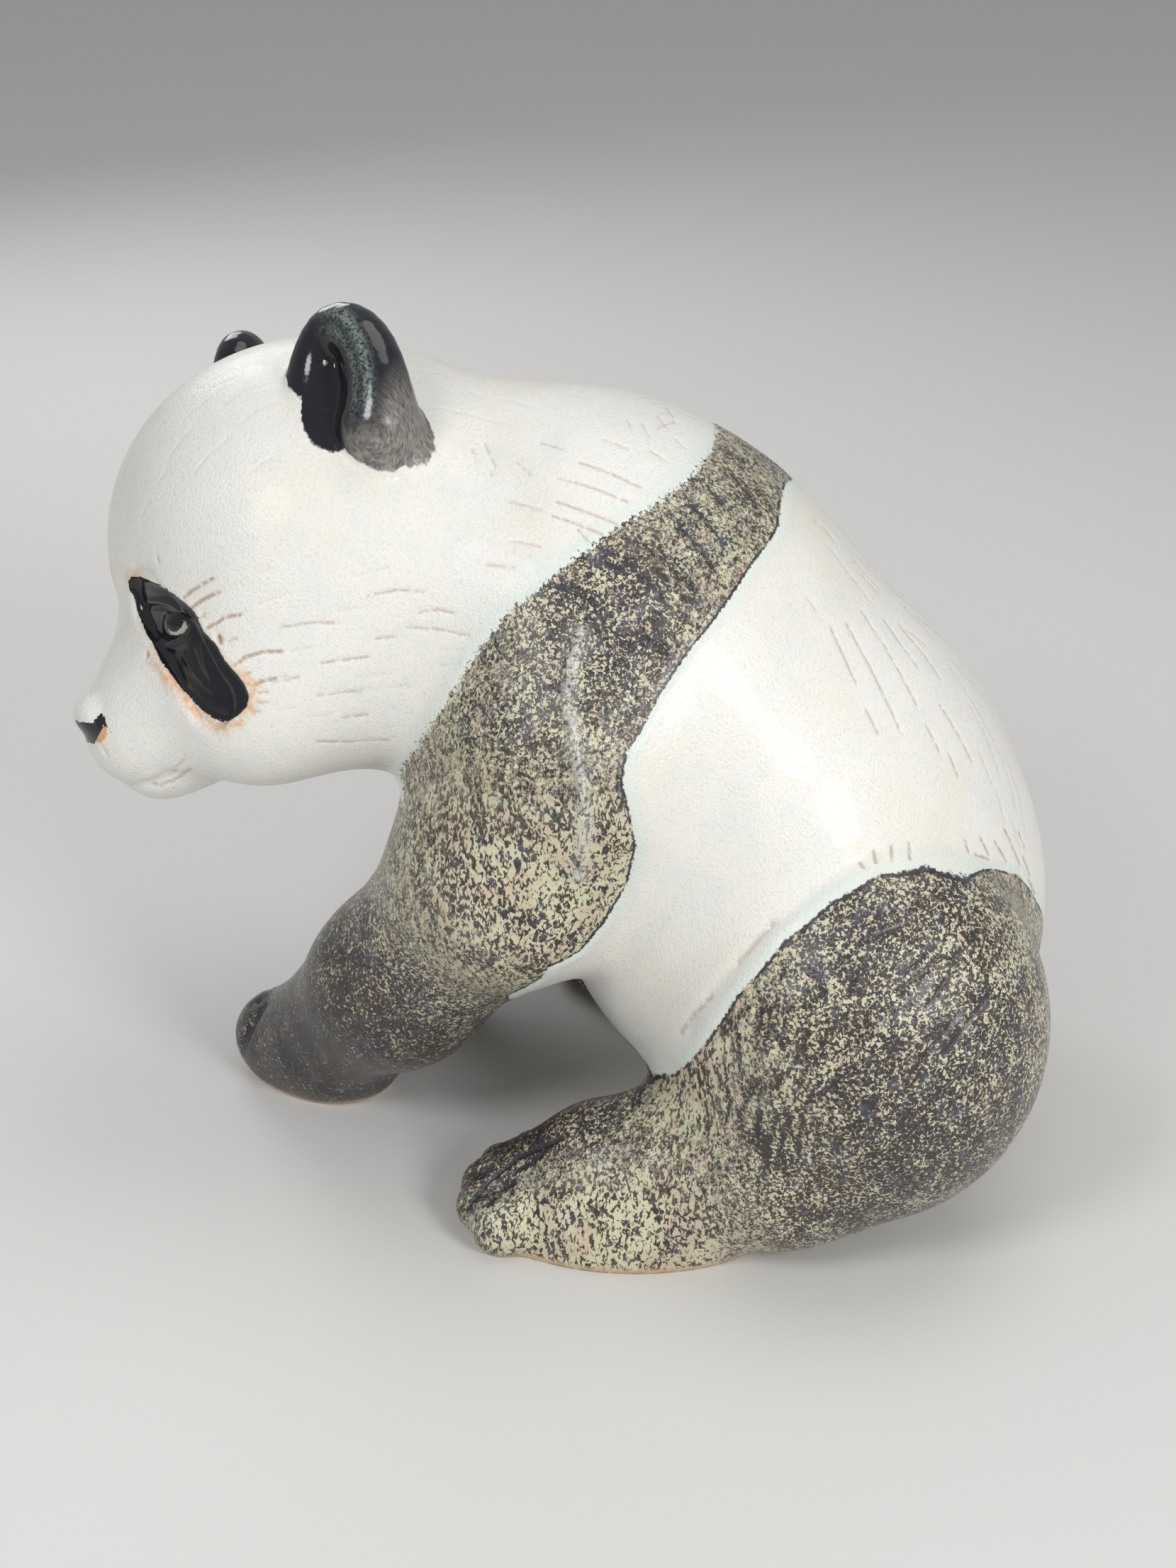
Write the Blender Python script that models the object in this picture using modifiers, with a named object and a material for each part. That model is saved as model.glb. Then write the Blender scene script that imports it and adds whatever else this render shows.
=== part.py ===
"""A panda in glazed stoneware, hunched on its haunches with its head turned down to its left.

It is cast in one piece, so it is one closed solid. The solid starts as separate lumps of clay, balls
and tapered limbs, which a voxel remesh fuses. Each vertex is then drawn onto the surface where
neighbouring lumps run smoothly into each other, with the carving pressed in. Last, the faces are
thinned out and the feet are ground flat.
"""

from collections import namedtuple

import bmesh
import bpy
import numpy as np
from mathutils import Euler, Matrix, Vector

# Driving size, in metres: from the floor to the tip of the left ear
HEIGHT = 0.139

# All places, radii and widths below are in parts, of which the height holds this many.
# +X is the panda's left, -Y its front, and the floor is at zero. The finished model's origin is
# on the floor, in the middle of its outline.
PARTS_IN_HEIGHT = 138.6
PART = HEIGHT / PARTS_IN_HEIGHT

# Meshing
VOXEL = 1.6
FACES = 9500
PULLS = 6
LONGEST_PULL = 2
EVENING = 0.5
FLOOR_SNAP = 0.02

# The main sizes: the belly's width and its length to the rump, and the height of the shoulders.
# The haunches, the forelegs, the neck and the head take their places from them.
BODY_WIDTH = 84
BODY_LENGTH = 74
SHOULDER_HEIGHT = 115

# The head's middle, and its turn to its left, its bow and its tilt, left ear up, in degrees
HEAD_MIDDLE = (2, -45, SHOULDER_HEIGHT - 18)
HEAD_TURN = 48
HEAD_BOW = 31
HEAD_TILT = 23

# The ears, in the head's own directions: forward, left and up. Angles are in degrees.
EAR_MIDDLE = (-12.5, 28, 17)
EAR_LEAN = 42
EAR_SPREAD = 12
EAR_FACE = 45
EAR_HALF_WIDTH = 6
EAR_HALF_HEIGHT = 10
EAR_INNER_RIM = 2.6
EAR_OUTER_RIM = 4.8
EAR_RIM_SWEEP = 125
EAR_RIM_PIECES = 8
EAR_BACK_RADII = (2.5, 8, 11)

# The hollows round the eyes, in the head's own directions: three points down the middle of each
EYE_HOLLOW = ((26.3, 9.3, 12), (27.2, 16.5, 4.5), (30.2, 21.5, -3.8))
EYE_HOLLOW_HALF_WIDTH = 5.6
EYE_HOLLOW_DEPTH = 1.3
EYE_HOLLOW_EDGE = 1.8

# The left eye's lids, in the head's own directions, and the turn of both eyes outwards in degrees
EYE_MIDDLE = (25.6, 14.2, 6.6)
EYE_RADII = (2.6, 3.4, 2.4)
EYE_TURN = 25

# How far the head runs into the neck
NECK_BLEND = 12

# Ball: centre, radii and turn in degrees. Limb: a rod with round ends, which may taper.
# Blend is how far the lump runs into the clay that is already there.
Ball = namedtuple("Ball", "centre radii turn blend", defaults=((0, 0, 0), 6))
Limb = namedtuple("Limb", "start end start_radius end_radius blend", defaults=(6,))

# Groove: the points that it runs through, its half width and its depth
Groove = namedtuple("Groove", "points half_width depth")

BODY = [
    Ball((0, BODY_LENGTH / 2 + 0.5, 40), (BODY_WIDTH / 2, BODY_LENGTH / 2, 37), (0, 0, 0), 0),
    Ball((0, BODY_LENGTH / 2 - 10, 60), (BODY_WIDTH / 2 - 2, BODY_LENGTH / 2, 37.5), (0, 0, 0), 14),
    Ball((0, 3, SHOULDER_HEIGHT - 33), (BODY_WIDTH / 2 - 6, 31, 33), (0, 0, 0), 16),
    Ball((0, 14, SHOULDER_HEIGHT - 31), (BODY_WIDTH / 2 - 9, 26, 29), (0, 0, 0), 12),
    Limb((0, -8, SHOULDER_HEIGHT - 25), (1, -34, SHOULDER_HEIGHT - 19), 32, 29, 14),
]

HEAD = [
    Ball((0, 0, 0), (30, 33, 30), (0, 0, 0), 0),
    Ball((16, 14, -9.5), (22, 18, 16.6), (0, 0, 0), 10),
    Ball((16, -14, -9.5), (22, 18, 16.6), (0, 0, 0), 10),
    Ball((32.8, 0, -4), (14.6, 13, 11.3), (0, 0, 0), 8),
    Ball((34, 0, -11), (11, 8, 5.6), (0, 0, 0), 4),
    Ball((42.6, 0, 3), (3, 4.4, 3), (0, 0, 0), 1.5),
]

LEFT_FORELEG = [
    Limb((BODY_WIDTH / 2 - 14, 2, SHOULDER_HEIGHT - 39), (27, -7, 56), 19, 17, 8),
    Limb((27, -7, 56), (18, -28, 28), 16.5, 13.5, 8),
    Limb((18, -28, 28), (10, -42, 12), 13.5, 11, 6),
    Ball((6, -46, 6), (10.5, 15.5, 10), (0, 0, -15), 5),
]

RIGHT_FORELEG = [
    Limb((14 - BODY_WIDTH / 2, 2, SHOULDER_HEIGHT - 39), (-27, -5, 56), 19, 17, 8),
    Limb((-27, -5, 56), (-23, -23, 28), 16.5, 13.5, 8),
    Limb((-23, -23, 28), (-18, -36, 12), 13.5, 11, 6),
    Ball((-17, -40, 6), (10.5, 15, 10), (0, 0, 8), 5),
]

# The haunches: the right one sits a little lower and further forward than the left
LEFT_HAUNCH = Ball((BODY_WIDTH / 2 - 13, BODY_LENGTH - 27.5, 35), (26.5, 29.5, 32.5), (0, 0, 0), 4)
RIGHT_HAUNCH = Ball((13 - BODY_WIDTH / 2, BODY_LENGTH - 30.5, 32.5), (26.5, 29, 31), (0, 0, 0), 4)

# The left hock and the sole's ball; the right ones are mirrored
FOOT_MIDDLE = 39
HOCK = Limb((FOOT_MIDDLE, 36, 15), (FOOT_MIDDLE, 10, 9), 14, 12, 8)
SOLE = Ball((FOOT_MIDDLE, 10, 3), (13.5, 23, 12), (0, 0, 0), 5)

# The tips of the left hind foot's toes, outermost first, as places across and along the foot.
# Their roots lie closer together by the share given.
TOE_TIPS = ((48, -5), (44, -9), (38.5, -9.5), (33, -8), (28.5, -4))
TOE_RADII = (6, 5.2, 5, 4.8, 4.6)
TOE_TAPER = 1
TOE_ROOT = 4
TOE_ROOT_HEIGHT = 5.5
TOE_TIP_HEIGHT = 4
TOE_ROOT_SHARE = 0.5

# The creases between the hind toes, at three places: ahead of the tip, behind it and at the root.
# They are set back along the foot by the first numbers and lie at the heights of the second.
TOE_CREASE_SETBACKS = (-4, 1, 3)
TOE_CREASE_HEIGHTS = (5, 9, 14)
TOE_CREASE_HALF_WIDTH = 0.9
TOE_CREASE_DEPTH = 0.9

# The front paws' toe creases, as turns about the paw's middle in degrees from straight ahead.
# Each starts low on the paw's edge and ends over its top.
PAW_CREASES = (-38, -13, 13, 38)
PAW_CREASE_REACH = (15, 9)
PAW_CREASE_HEIGHTS = (3, 15)
PAW_CREASE_DEPTH = 0.8

# The nose's crease and the left half of the mouth, in the head's own directions
NOSE_CREASE = Groove(((48, 0, 0), (48.5, 0, -7.5)), 0.8, 0.9)
MOUTH = Groove(((48, 0, -8), (46, 4, -9.2), (42.7, 7.4, -9.8), (38.5, 10.4, -9.2)), 1.0, 1.1)


def on_side(point, side):
    """The point itself for the left side, +1, and its mirror image for the right side, -1."""
    return (side * point[0], point[1], point[2])


def toe_root(across):
    """Where the root of a toe or crease lies across the foot."""
    return FOOT_MIDDLE + TOE_ROOT_SHARE * (across - FOOT_MIDDLE)


def hind_leg(side):
    """The haunch, foot and toes of one side, +1 for the left."""
    leg = [
        LEFT_HAUNCH if side > 0 else RIGHT_HAUNCH,
        HOCK._replace(start=on_side(HOCK.start, side), end=on_side(HOCK.end, side)),
        SOLE._replace(centre=on_side(SOLE.centre, side)),
    ]
    for (across, along), radius in zip(TOE_TIPS, TOE_RADII):
        start = on_side((toe_root(across), TOE_ROOT, TOE_ROOT_HEIGHT), side)
        end = on_side((across, along, TOE_TIP_HEIGHT), side)
        leg.append(Limb(start, end, radius, radius - TOE_TAPER, 1.5))
    return leg


def ear(side):
    """One ear, in the head's own directions: a rolled rim bent to a horseshoe, with a thin back."""
    angles = (-side * EAR_SPREAD, -EAR_LEAN, side * EAR_FACE)
    turn = turn_matrix(angles)
    middle = np.array(EAR_MIDDLE) * (1, side, 1)
    sweep = np.radians(np.linspace(-EAR_RIM_SWEEP, EAR_RIM_SWEEP, EAR_RIM_PIECES + 1))
    across = side * EAR_HALF_WIDTH * np.sin(sweep)
    along = EAR_HALF_HEIGHT * np.cos(sweep)
    arch = [middle + turn @ (0, one, two) for one, two in zip(across, along)]
    radii = np.linspace(EAR_INNER_RIM, EAR_OUTER_RIM, len(arch))
    back = middle - turn @ (EAR_BACK_RADII[0], 0, 0)
    lumps = [Ball(tuple(back), EAR_BACK_RADII, angles, 2)]
    for index in range(EAR_RIM_PIECES):
        start, end = tuple(arch[index]), tuple(arch[index + 1])
        lumps.append(Limb(start, end, radii[index], radii[index + 1], 1.5))
    return lumps


def face_grooves():
    """The mouth and the crease under the nose, in the head's own directions."""
    right_half = tuple((forward, -left, up) for forward, left, up in MOUTH.points)
    return [NOSE_CREASE, MOUTH, MOUTH._replace(points=right_half)]


def toe_creases(side):
    """The creases between the hind toes of one side."""
    creases = []
    for one, two in zip(TOE_TIPS, TOE_TIPS[1:]):
        across, along = np.mean([one, two], axis=0)
        ahead, behind, root = TOE_CREASE_SETBACKS
        places = ((across, along + ahead), (across, along + behind), (toe_root(across), TOE_ROOT + root))
        line = [on_side((*place, height), side) for place, height in zip(places, TOE_CREASE_HEIGHTS)]
        creases.append(Groove(tuple(line), TOE_CREASE_HALF_WIDTH, TOE_CREASE_DEPTH))
    return creases


def paw_creases(paw):
    """The creases between the toes on top of one front paw."""
    creases = []
    for crease in PAW_CREASES:
        turn = np.radians(crease + paw.turn[2])
        line = [
            (paw.centre[0] + reach * np.sin(turn), paw.centre[1] - reach * np.cos(turn), height)
            for reach, height in zip(PAW_CREASE_REACH, PAW_CREASE_HEIGHTS)
        ]
        creases.append(Groove(tuple(line), TOE_CREASE_HALF_WIDTH, PAW_CREASE_DEPTH))
    return creases


def turn_matrix(degrees):
    """A rotation, as an array, from angles about X, Y and Z in degrees."""
    return np.array(Euler(np.radians(degrees), "XYZ").to_matrix())


def head_axes():
    """The head's forward, left and up directions as the columns of an array."""
    forward_left_up = np.array([[0, 1, 0], [-1, 0, 0], [0, 0, 1]], float)
    turn = turn_matrix((0, 0, HEAD_TURN))
    bow = turn_matrix((HEAD_BOW, 0, 0))
    tilt = turn_matrix((0, -HEAD_TILT, 0))
    return turn @ bow @ tilt @ forward_left_up


def ball_distance(points, ball):
    """About how far each point lies outside a ball, by the usual estimate for an ellipsoid."""
    local = (points - np.array(ball.centre)) @ turn_matrix(ball.turn)
    radii = np.array(ball.radii, float)
    near = np.linalg.norm(local / radii, axis=1)
    steep = np.linalg.norm(local / radii**2, axis=1)
    return near * (near - 1) / np.maximum(steep, 1e-9)


def share_along(points, start, end):
    """How far along a straight line each point lies, as a share from 0 to 1."""
    along = end - start
    return np.clip((points - start) @ along / (along @ along), 0, 1)


def limb_distance(points, limb):
    """How far each point lies outside a tapered rod with round ends."""
    start, end = np.array(limb.start, float), np.array(limb.end, float)
    share = share_along(points, start, end)
    centre = start + share[:, None] * (end - start)
    radius = limb.start_radius + share * (limb.end_radius - limb.start_radius)
    return np.linalg.norm(points - centre, axis=1) - radius


def line_distance(points, line):
    """How far each point lies from a line of straight pieces."""
    nearest = np.full(len(points), np.inf)
    for start, end in zip(np.array(line[:-1], float), np.array(line[1:], float)):
        centre = start + share_along(points, start, end)[:, None] * (end - start)
        nearest = np.minimum(nearest, np.linalg.norm(points - centre, axis=1))
    return nearest


def groove_depth(points, groove):
    """How deep a groove presses the surface in at each point."""
    return groove.depth * np.exp(-((line_distance(points, groove.points) / groove.half_width) ** 2))


def eye_hollow_depth(points, side):
    """How deep the hollow round one eye presses the surface in at each point."""
    line = [(forward, side * left, up) for forward, left, up in EYE_HOLLOW]
    inside = EYE_HOLLOW_HALF_WIDTH - line_distance(points, line)
    share = np.clip(inside / EYE_HOLLOW_EDGE, 0, 1)
    return EYE_HOLLOW_DEPTH * share * share * (3 - 2 * share)


def smooth_union(one, other, blend):
    """Joins two distances so that their surfaces run into each other over the blend's width."""
    if blend == 0:
        return np.minimum(one, other)
    share = np.clip(0.5 + 0.5 * (other - one) / blend, 0, 1)
    return other + (one - other) * share - blend * share * (1 - share)


def add_lumps(distance, points, lumps):
    """Joins lumps, one after another, to what is already there."""
    for lump in lumps:
        measure = ball_distance if isinstance(lump, Ball) else limb_distance
        own = measure(points, lump)
        distance = own if distance is None else smooth_union(distance, own, lump.blend)
    return distance


def head_distance(points):
    """How far each point, in the head's own directions, lies outside the head."""
    head = add_lumps(None, points, HEAD)
    for groove in face_grooves():
        head = head + groove_depth(points, groove)
    for side in (1, -1):
        head = head + eye_hollow_depth(points, side)
        forward, left, up = EYE_MIDDLE
        eye = Ball((forward, side * left, up), EYE_RADII, (0, 0, side * EYE_TURN), 1)
        head = add_lumps(head, points, [eye])
        head = add_lumps(head, points, ear(side))
    return head


def panda_distance(points):
    """How far each point lies outside the whole panda."""
    body = add_lumps(None, points, BODY)
    for side in (1, -1):
        body = add_lumps(body, points, hind_leg(side))
    head = head_distance((points - np.array(HEAD_MIDDLE)) @ head_axes())
    body = smooth_union(body, head, NECK_BLEND)
    body = add_lumps(body, points, LEFT_FORELEG + RIGHT_FORELEG)
    creases = toe_creases(1) + toe_creases(-1)
    creases += paw_creases(LEFT_FORELEG[-1]) + paw_creases(RIGHT_FORELEG[-1])
    for crease in creases:
        body = body + groove_depth(points, crease)
    return body


def uphill(points, distance, step=0.05):
    """The direction in which the distance grows at each point, as unit vectors."""
    slopes = np.stack([panda_distance(points + shift) - distance for shift in np.eye(3) * step], axis=1)
    return slopes / np.maximum(np.linalg.norm(slopes, axis=1, keepdims=True), 1e-9)


def ball_shape(shape, ball):
    """Makes a ball: a sphere, stretched and turned."""
    turn = Matrix(turn_matrix(ball.turn).tolist()).to_4x4()
    matrix = Matrix.Translation(ball.centre) @ turn @ Matrix.Diagonal((*ball.radii, 1))
    bmesh.ops.create_uvsphere(shape, u_segments=32, v_segments=20, radius=1, matrix=matrix)


def limb_shape(shape, limb):
    """Makes a limb: a cone between two spheres."""
    start, end = Vector(limb.start), Vector(limb.end)
    for centre, radius in ((start, limb.start_radius), (end, limb.end_radius)):
        place = Matrix.Translation(centre)
        bmesh.ops.create_uvsphere(shape, u_segments=24, v_segments=16, radius=radius, matrix=place)
    aim = (end - start).to_track_quat("Z", "Y").to_matrix().to_4x4()
    bmesh.ops.create_cone(
        shape,
        cap_ends=True,
        segments=24,
        radius1=limb.start_radius,
        radius2=limb.end_radius,
        depth=(end - start).length,
        matrix=Matrix.Translation((start + end) / 2) @ aim,
    )


def add_lump_shape(clay, lump, place):
    """Adds one lump to the raw clay."""
    shape = bmesh.new()
    make = ball_shape if isinstance(lump, Ball) else limb_shape
    make(shape, lump)
    shape.transform(place)
    data = bpy.data.meshes.new("lump")
    shape.to_mesh(data)
    shape.free()
    clay.from_mesh(data)
    bpy.data.meshes.remove(data)


def raw_clay():
    """All lumps as one mesh of overlapping bodies."""
    clay = bmesh.new()
    head_place = Matrix.Translation(HEAD_MIDDLE) @ Matrix(head_axes().tolist()).to_4x4()
    for lump in BODY + LEFT_FORELEG + RIGHT_FORELEG + hind_leg(1) + hind_leg(-1):
        add_lump_shape(clay, lump, Matrix.Identity(4))
    for lump in HEAD + ear(1) + ear(-1):
        add_lump_shape(clay, lump, head_place)
    data = bpy.data.meshes.new("clay")
    clay.to_mesh(data)
    clay.free()
    return data


def apply_modifiers(piece):
    """Replaces an object's mesh by the one that its modifiers give."""
    graph = bpy.context.evaluated_depsgraph_get()
    piece.data = bpy.data.meshes.new_from_object(piece.evaluated_get(graph))
    piece.modifiers.clear()


def fuse(piece, voxel):
    """Makes one skin round all lumps."""
    remesh = piece.modifiers.new("fuse", "REMESH")
    remesh.mode = "VOXEL"
    remesh.voxel_size = voxel
    apply_modifiers(piece)


def pull_to_surface(data, pulls):
    """Draws the vertices onto the blended surface, and evens them out along it between pulls."""
    count = len(data.vertices)
    places = np.empty(count * 3)
    data.vertices.foreach_get("co", places)
    places = places.reshape(count, 3)
    edges = np.empty(len(data.edges) * 2, int)
    data.edges.foreach_get("vertices", edges)
    edges = edges.reshape(-1, 2)
    ends = np.concatenate([edges, edges[:, ::-1]])
    neighbours = np.bincount(ends[:, 0], minlength=count)
    for pull in range(pulls):
        distance = panda_distance(places)
        away = uphill(places, distance)
        places = places - away * np.clip(distance, -LONGEST_PULL, LONGEST_PULL)[:, None]
        if pull == pulls - 1:
            break
        sums = [np.bincount(ends[:, 0], places[ends[:, 1], axis], count) for axis in range(3)]
        drift = np.stack(sums, axis=1) / neighbours[:, None] - places
        places = places + EVENING * (drift - away * np.sum(drift * away, axis=1, keepdims=True))
    data.vertices.foreach_set("co", places.ravel())
    data.update()


def thin_out(piece, faces):
    """Leaves about the given number of triangles, with the closest ones where the form bends most."""
    piece.data.calc_loop_triangles()
    decimate = piece.modifiers.new("thin out", "DECIMATE")
    decimate.ratio = faces / len(piece.data.loop_triangles)
    apply_modifiers(piece)


def grind_feet(piece):
    """Cuts the piece off flat at the floor and closes the cuts."""
    shape = bmesh.new()
    shape.from_mesh(piece.data)
    everything = shape.verts[:] + shape.edges[:] + shape.faces[:]
    bmesh.ops.bisect_plane(
        shape, geom=everything, dist=FLOOR_SNAP, plane_co=(0, 0, 0), plane_no=(0, 0, -1), clear_outer=True
    )
    for vertex in shape.verts:
        if vertex.co.z < FLOOR_SNAP:
            vertex.co.z = 0
    rims = [edge for edge in shape.edges if edge.is_boundary]
    bmesh.ops.edgenet_fill(shape, edges=rims)
    bmesh.ops.recalc_face_normals(shape, faces=shape.faces[:])
    shape.to_mesh(piece.data)
    shape.free()


def footprint_middle(data):
    """The middle of the model's outline as seen from above, on the floor."""
    places = [vertex.co for vertex in data.vertices]
    low = [min(place[axis] for place in places) for axis in (0, 1)]
    high = [max(place[axis] for place in places) for axis in (0, 1)]
    return Vector(((low[0] + high[0]) / 2, (low[1] + high[1]) / 2, 0))


def glazed_white():
    """The finish that most of the panda has: warm white glaze with a soft gloss."""
    material = bpy.data.materials.new("white glaze")
    material.use_nodes = True
    surface = material.node_tree.nodes["Principled BSDF"].inputs
    surface["Base Color"].default_value = (0.74, 0.72, 0.66, 1)
    surface["Roughness"].default_value = 0.35
    surface["Metallic"].default_value = 0
    return material


def build_panda(collection):
    """Makes the panda's solid at its real size."""
    piece = bpy.data.objects.new("panda", raw_clay())
    collection.objects.link(piece)
    fuse(piece, VOXEL)
    pull_to_surface(piece.data, PULLS)
    thin_out(piece, FACES)
    grind_feet(piece)
    piece.data.transform(Matrix.Scale(PART, 4) @ Matrix.Translation(-footprint_middle(piece.data)))
    piece.data.materials.append(glazed_white())
    piece.data.shade_smooth()
    return piece


def main():
    """Clears the scene and builds the figurine in a collection of its own."""
    for old in list(bpy.data.objects):
        bpy.data.objects.remove(old)
    collection = bpy.data.collections.new("Panda figurine")
    bpy.context.scene.collection.children.link(collection)
    build_panda(collection)


if __name__ == "__main__":
    main()
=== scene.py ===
"""A panda in glazed stoneware, with the floor, light and camera of its studio picture.

The figurine is one casting, so it is one piece. Its form is blended from the same balls and limbs
of clay as the CAD solid. The potter's marks are then pressed into it, and node materials give it
its glazes: satin white, charcoal that breaks to cream flecks, glossy black, and bare clay.
"""

import logging
import math
from dataclasses import dataclass, field, replace
from enum import Enum
from typing import Optional, Sequence, Union

import bmesh
import bpy
import numpy as np
from mathutils import Euler, Matrix, Vector, noise
from mathutils.bvhtree import BVHTree


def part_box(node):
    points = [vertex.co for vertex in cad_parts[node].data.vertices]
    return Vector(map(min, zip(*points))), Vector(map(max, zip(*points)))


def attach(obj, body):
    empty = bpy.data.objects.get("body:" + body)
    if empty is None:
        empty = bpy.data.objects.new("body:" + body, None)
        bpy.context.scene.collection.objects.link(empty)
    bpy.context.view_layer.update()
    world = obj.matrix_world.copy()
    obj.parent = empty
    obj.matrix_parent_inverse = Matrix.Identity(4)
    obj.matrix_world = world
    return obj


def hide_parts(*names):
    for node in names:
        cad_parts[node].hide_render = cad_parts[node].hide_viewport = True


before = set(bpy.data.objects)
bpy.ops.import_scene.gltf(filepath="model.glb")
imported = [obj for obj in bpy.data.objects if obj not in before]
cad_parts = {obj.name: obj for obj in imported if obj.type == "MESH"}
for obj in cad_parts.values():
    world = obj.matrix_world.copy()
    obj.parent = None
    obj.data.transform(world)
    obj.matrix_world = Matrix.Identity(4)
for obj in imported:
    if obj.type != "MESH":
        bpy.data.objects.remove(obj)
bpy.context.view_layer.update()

LOG = logging.getLogger("panda")
Point = tuple[float, ...]
Places = Sequence[Point]

# The height from the floor to the tip of the left ear, in metres. Places and radii of the figurine
# are in parts, of which the height holds this many, so one part is about a millimetre.
HEIGHT = 0.139
PARTS_IN_HEIGHT = 138.6
PART = HEIGHT / PARTS_IN_HEIGHT

MIRROR = np.array((-1, 1, 1))
FAR_OUTSIDE = -99.0


def turn_matrix(degrees: Sequence[float]) -> np.ndarray:
    """Return the 3 by 3 rotation for angles about X, Y and Z."""
    return np.array(Euler(np.radians(degrees), "XYZ").to_matrix())


def share_along(points: np.ndarray, start: np.ndarray, end: np.ndarray) -> np.ndarray:
    """Return how far along a straight line each point lies, from 0 to 1."""
    along = end - start
    return np.clip((points - start) @ along / max(along @ along, 1e-12), 0, 1)


def line_distance(points: np.ndarray, line: np.ndarray) -> np.ndarray:
    """Find how far points lie from a line of straight pieces.

    Args:
        points: The points, one a row, in the plane or in space.
        line: The line's corners.

    Returns:
        The distance of each point.
    """
    nearest = np.full(len(points), np.inf)
    for start, end in zip(line[:-1], line[1:]):
        centre = start + share_along(points, start, end)[:, None] * (end - start)
        nearest = np.minimum(nearest, np.linalg.norm(points - centre, axis=1))
    return nearest


def depth_inside(points: np.ndarray, outline: np.ndarray) -> np.ndarray:
    """Find how deep points lie inside a closed outline in a plane.

    Args:
        points: The points, with two numbers each.
        outline: The outline's corners, in order.

    Returns:
        The distance to the outline, above zero inside it.
    """
    closed = np.vstack([outline, outline[:1]])
    inside = np.zeros(len(points), bool)
    across, up = points[:, 0], points[:, 1]
    for (x0, y0), (x1, y1) in zip(closed[:-1], closed[1:]):
        if y0 != y1:
            inside ^= ((y0 > up) != (y1 > up)) & (across < (x1 - x0) * (up - y0) / (y1 - y0) + x0)
    nearest = line_distance(points, closed)
    return np.where(inside, nearest, -nearest)


def smooth_union(one: np.ndarray, other: np.ndarray, blend: float) -> np.ndarray:
    """Join two distances so that their surfaces run into each other.

    Args:
        one: The first distance at each point.
        other: The second.
        blend: The width over which they run together.

    Returns:
        The joined distance.
    """
    if blend == 0:
        return np.minimum(one, other)
    share = np.clip(0.5 + 0.5 * (other - one) / blend, 0, 1)
    return other + (one - other) * share - blend * share * (1 - share)


def smooth_step(values: np.ndarray, low: float, high: float) -> np.ndarray:
    """Return a share for each value that rises smoothly from 0 at the low one to 1 at the high one."""
    share = np.clip((values - low) / (high - low), 0, 1)
    return share * share * (3 - 2 * share)


def hill(values: np.ndarray, middle: float, width: float) -> np.ndarray:
    """Return a share for each value that is 1 at the middle and falls off to both sides."""
    return np.exp(-(((values - middle) / width) ** 2))


@dataclass(frozen=True)
class Ball:
    """A ball of clay with three radii.

    Args:
        centre: Its middle.
        radii: Its three radii.
        turn: Its angles about X, Y and Z, in degrees.
        blend: How far it runs into the clay that is already there.
    """

    centre: Point
    radii: Point
    turn: Point = (0, 0, 0)
    blend: float = 6

    def distance(self, points: np.ndarray) -> np.ndarray:
        """Return about how far each point lies outside the ball."""
        local = (points - np.array(self.centre)) @ turn_matrix(self.turn)
        radii = np.array(self.radii, float)
        near = np.linalg.norm(local / radii, axis=1)
        steep = np.linalg.norm(local / radii**2, axis=1)
        return near * (near - 1) / np.maximum(steep, 1e-9)

    def shape(self, mesh: bmesh.types.BMesh) -> None:
        """Add the ball to a mesh as a sphere, stretched and turned."""
        turn = Matrix(turn_matrix(self.turn).tolist()).to_4x4()
        place = Matrix.Translation(self.centre) @ turn @ Matrix.Diagonal((*self.radii, 1))
        bmesh.ops.create_uvsphere(mesh, u_segments=32, v_segments=20, radius=1, matrix=place)


@dataclass(frozen=True)
class Limb:
    """A rod of clay with round ends, which may taper.

    Args:
        start: The middle of one end.
        end: The middle of the other.
        start_radius: The radius at the start.
        end_radius: The radius at the end.
        blend: How far it runs into the clay that is already there.
    """

    start: Point
    end: Point
    start_radius: float
    end_radius: float
    blend: float = 6

    def distance(self, points: np.ndarray) -> np.ndarray:
        """Return how far each point lies outside the rod."""
        start, end = np.array(self.start, float), np.array(self.end, float)
        share = share_along(points, start, end)
        radius = self.start_radius + share * (self.end_radius - self.start_radius)
        return np.linalg.norm(points - start - share[:, None] * (end - start), axis=1) - radius

    def shape(self, mesh: bmesh.types.BMesh) -> None:
        """Add the rod to a mesh as a cone between two spheres."""
        start, end = Vector(self.start), Vector(self.end)
        for centre, radius in ((start, self.start_radius), (end, self.end_radius)):
            place = Matrix.Translation(centre)
            bmesh.ops.create_uvsphere(mesh, u_segments=24, v_segments=16, radius=radius, matrix=place)
        aim = (end - start).to_track_quat("Z", "Y").to_matrix().to_4x4()
        bmesh.ops.create_cone(
            mesh,
            cap_ends=True,
            segments=24,
            radius1=self.start_radius,
            radius2=self.end_radius,
            depth=(end - start).length,
            matrix=Matrix.Translation((start + end) / 2) @ aim,
        )


@dataclass(frozen=True)
class Rim:
    """A bent roll of clay that gets thicker or thinner along its length.

    Args:
        limbs: The straight pieces that it is bent from.
        blend: How far it runs into the clay that is already there.
    """

    limbs: tuple[Limb, ...]
    blend: float = 1.5

    def distance(self, points: np.ndarray) -> np.ndarray:
        """Return how far each point lies outside the roll."""
        return np.min([limb.distance(points) for limb in self.limbs], axis=0)

    def shape(self, mesh: bmesh.types.BMesh) -> None:
        """Add the roll to a mesh, piece by piece."""
        for limb in self.limbs:
            limb.shape(mesh)


Lump = Union[Ball, Limb, Rim]


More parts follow.
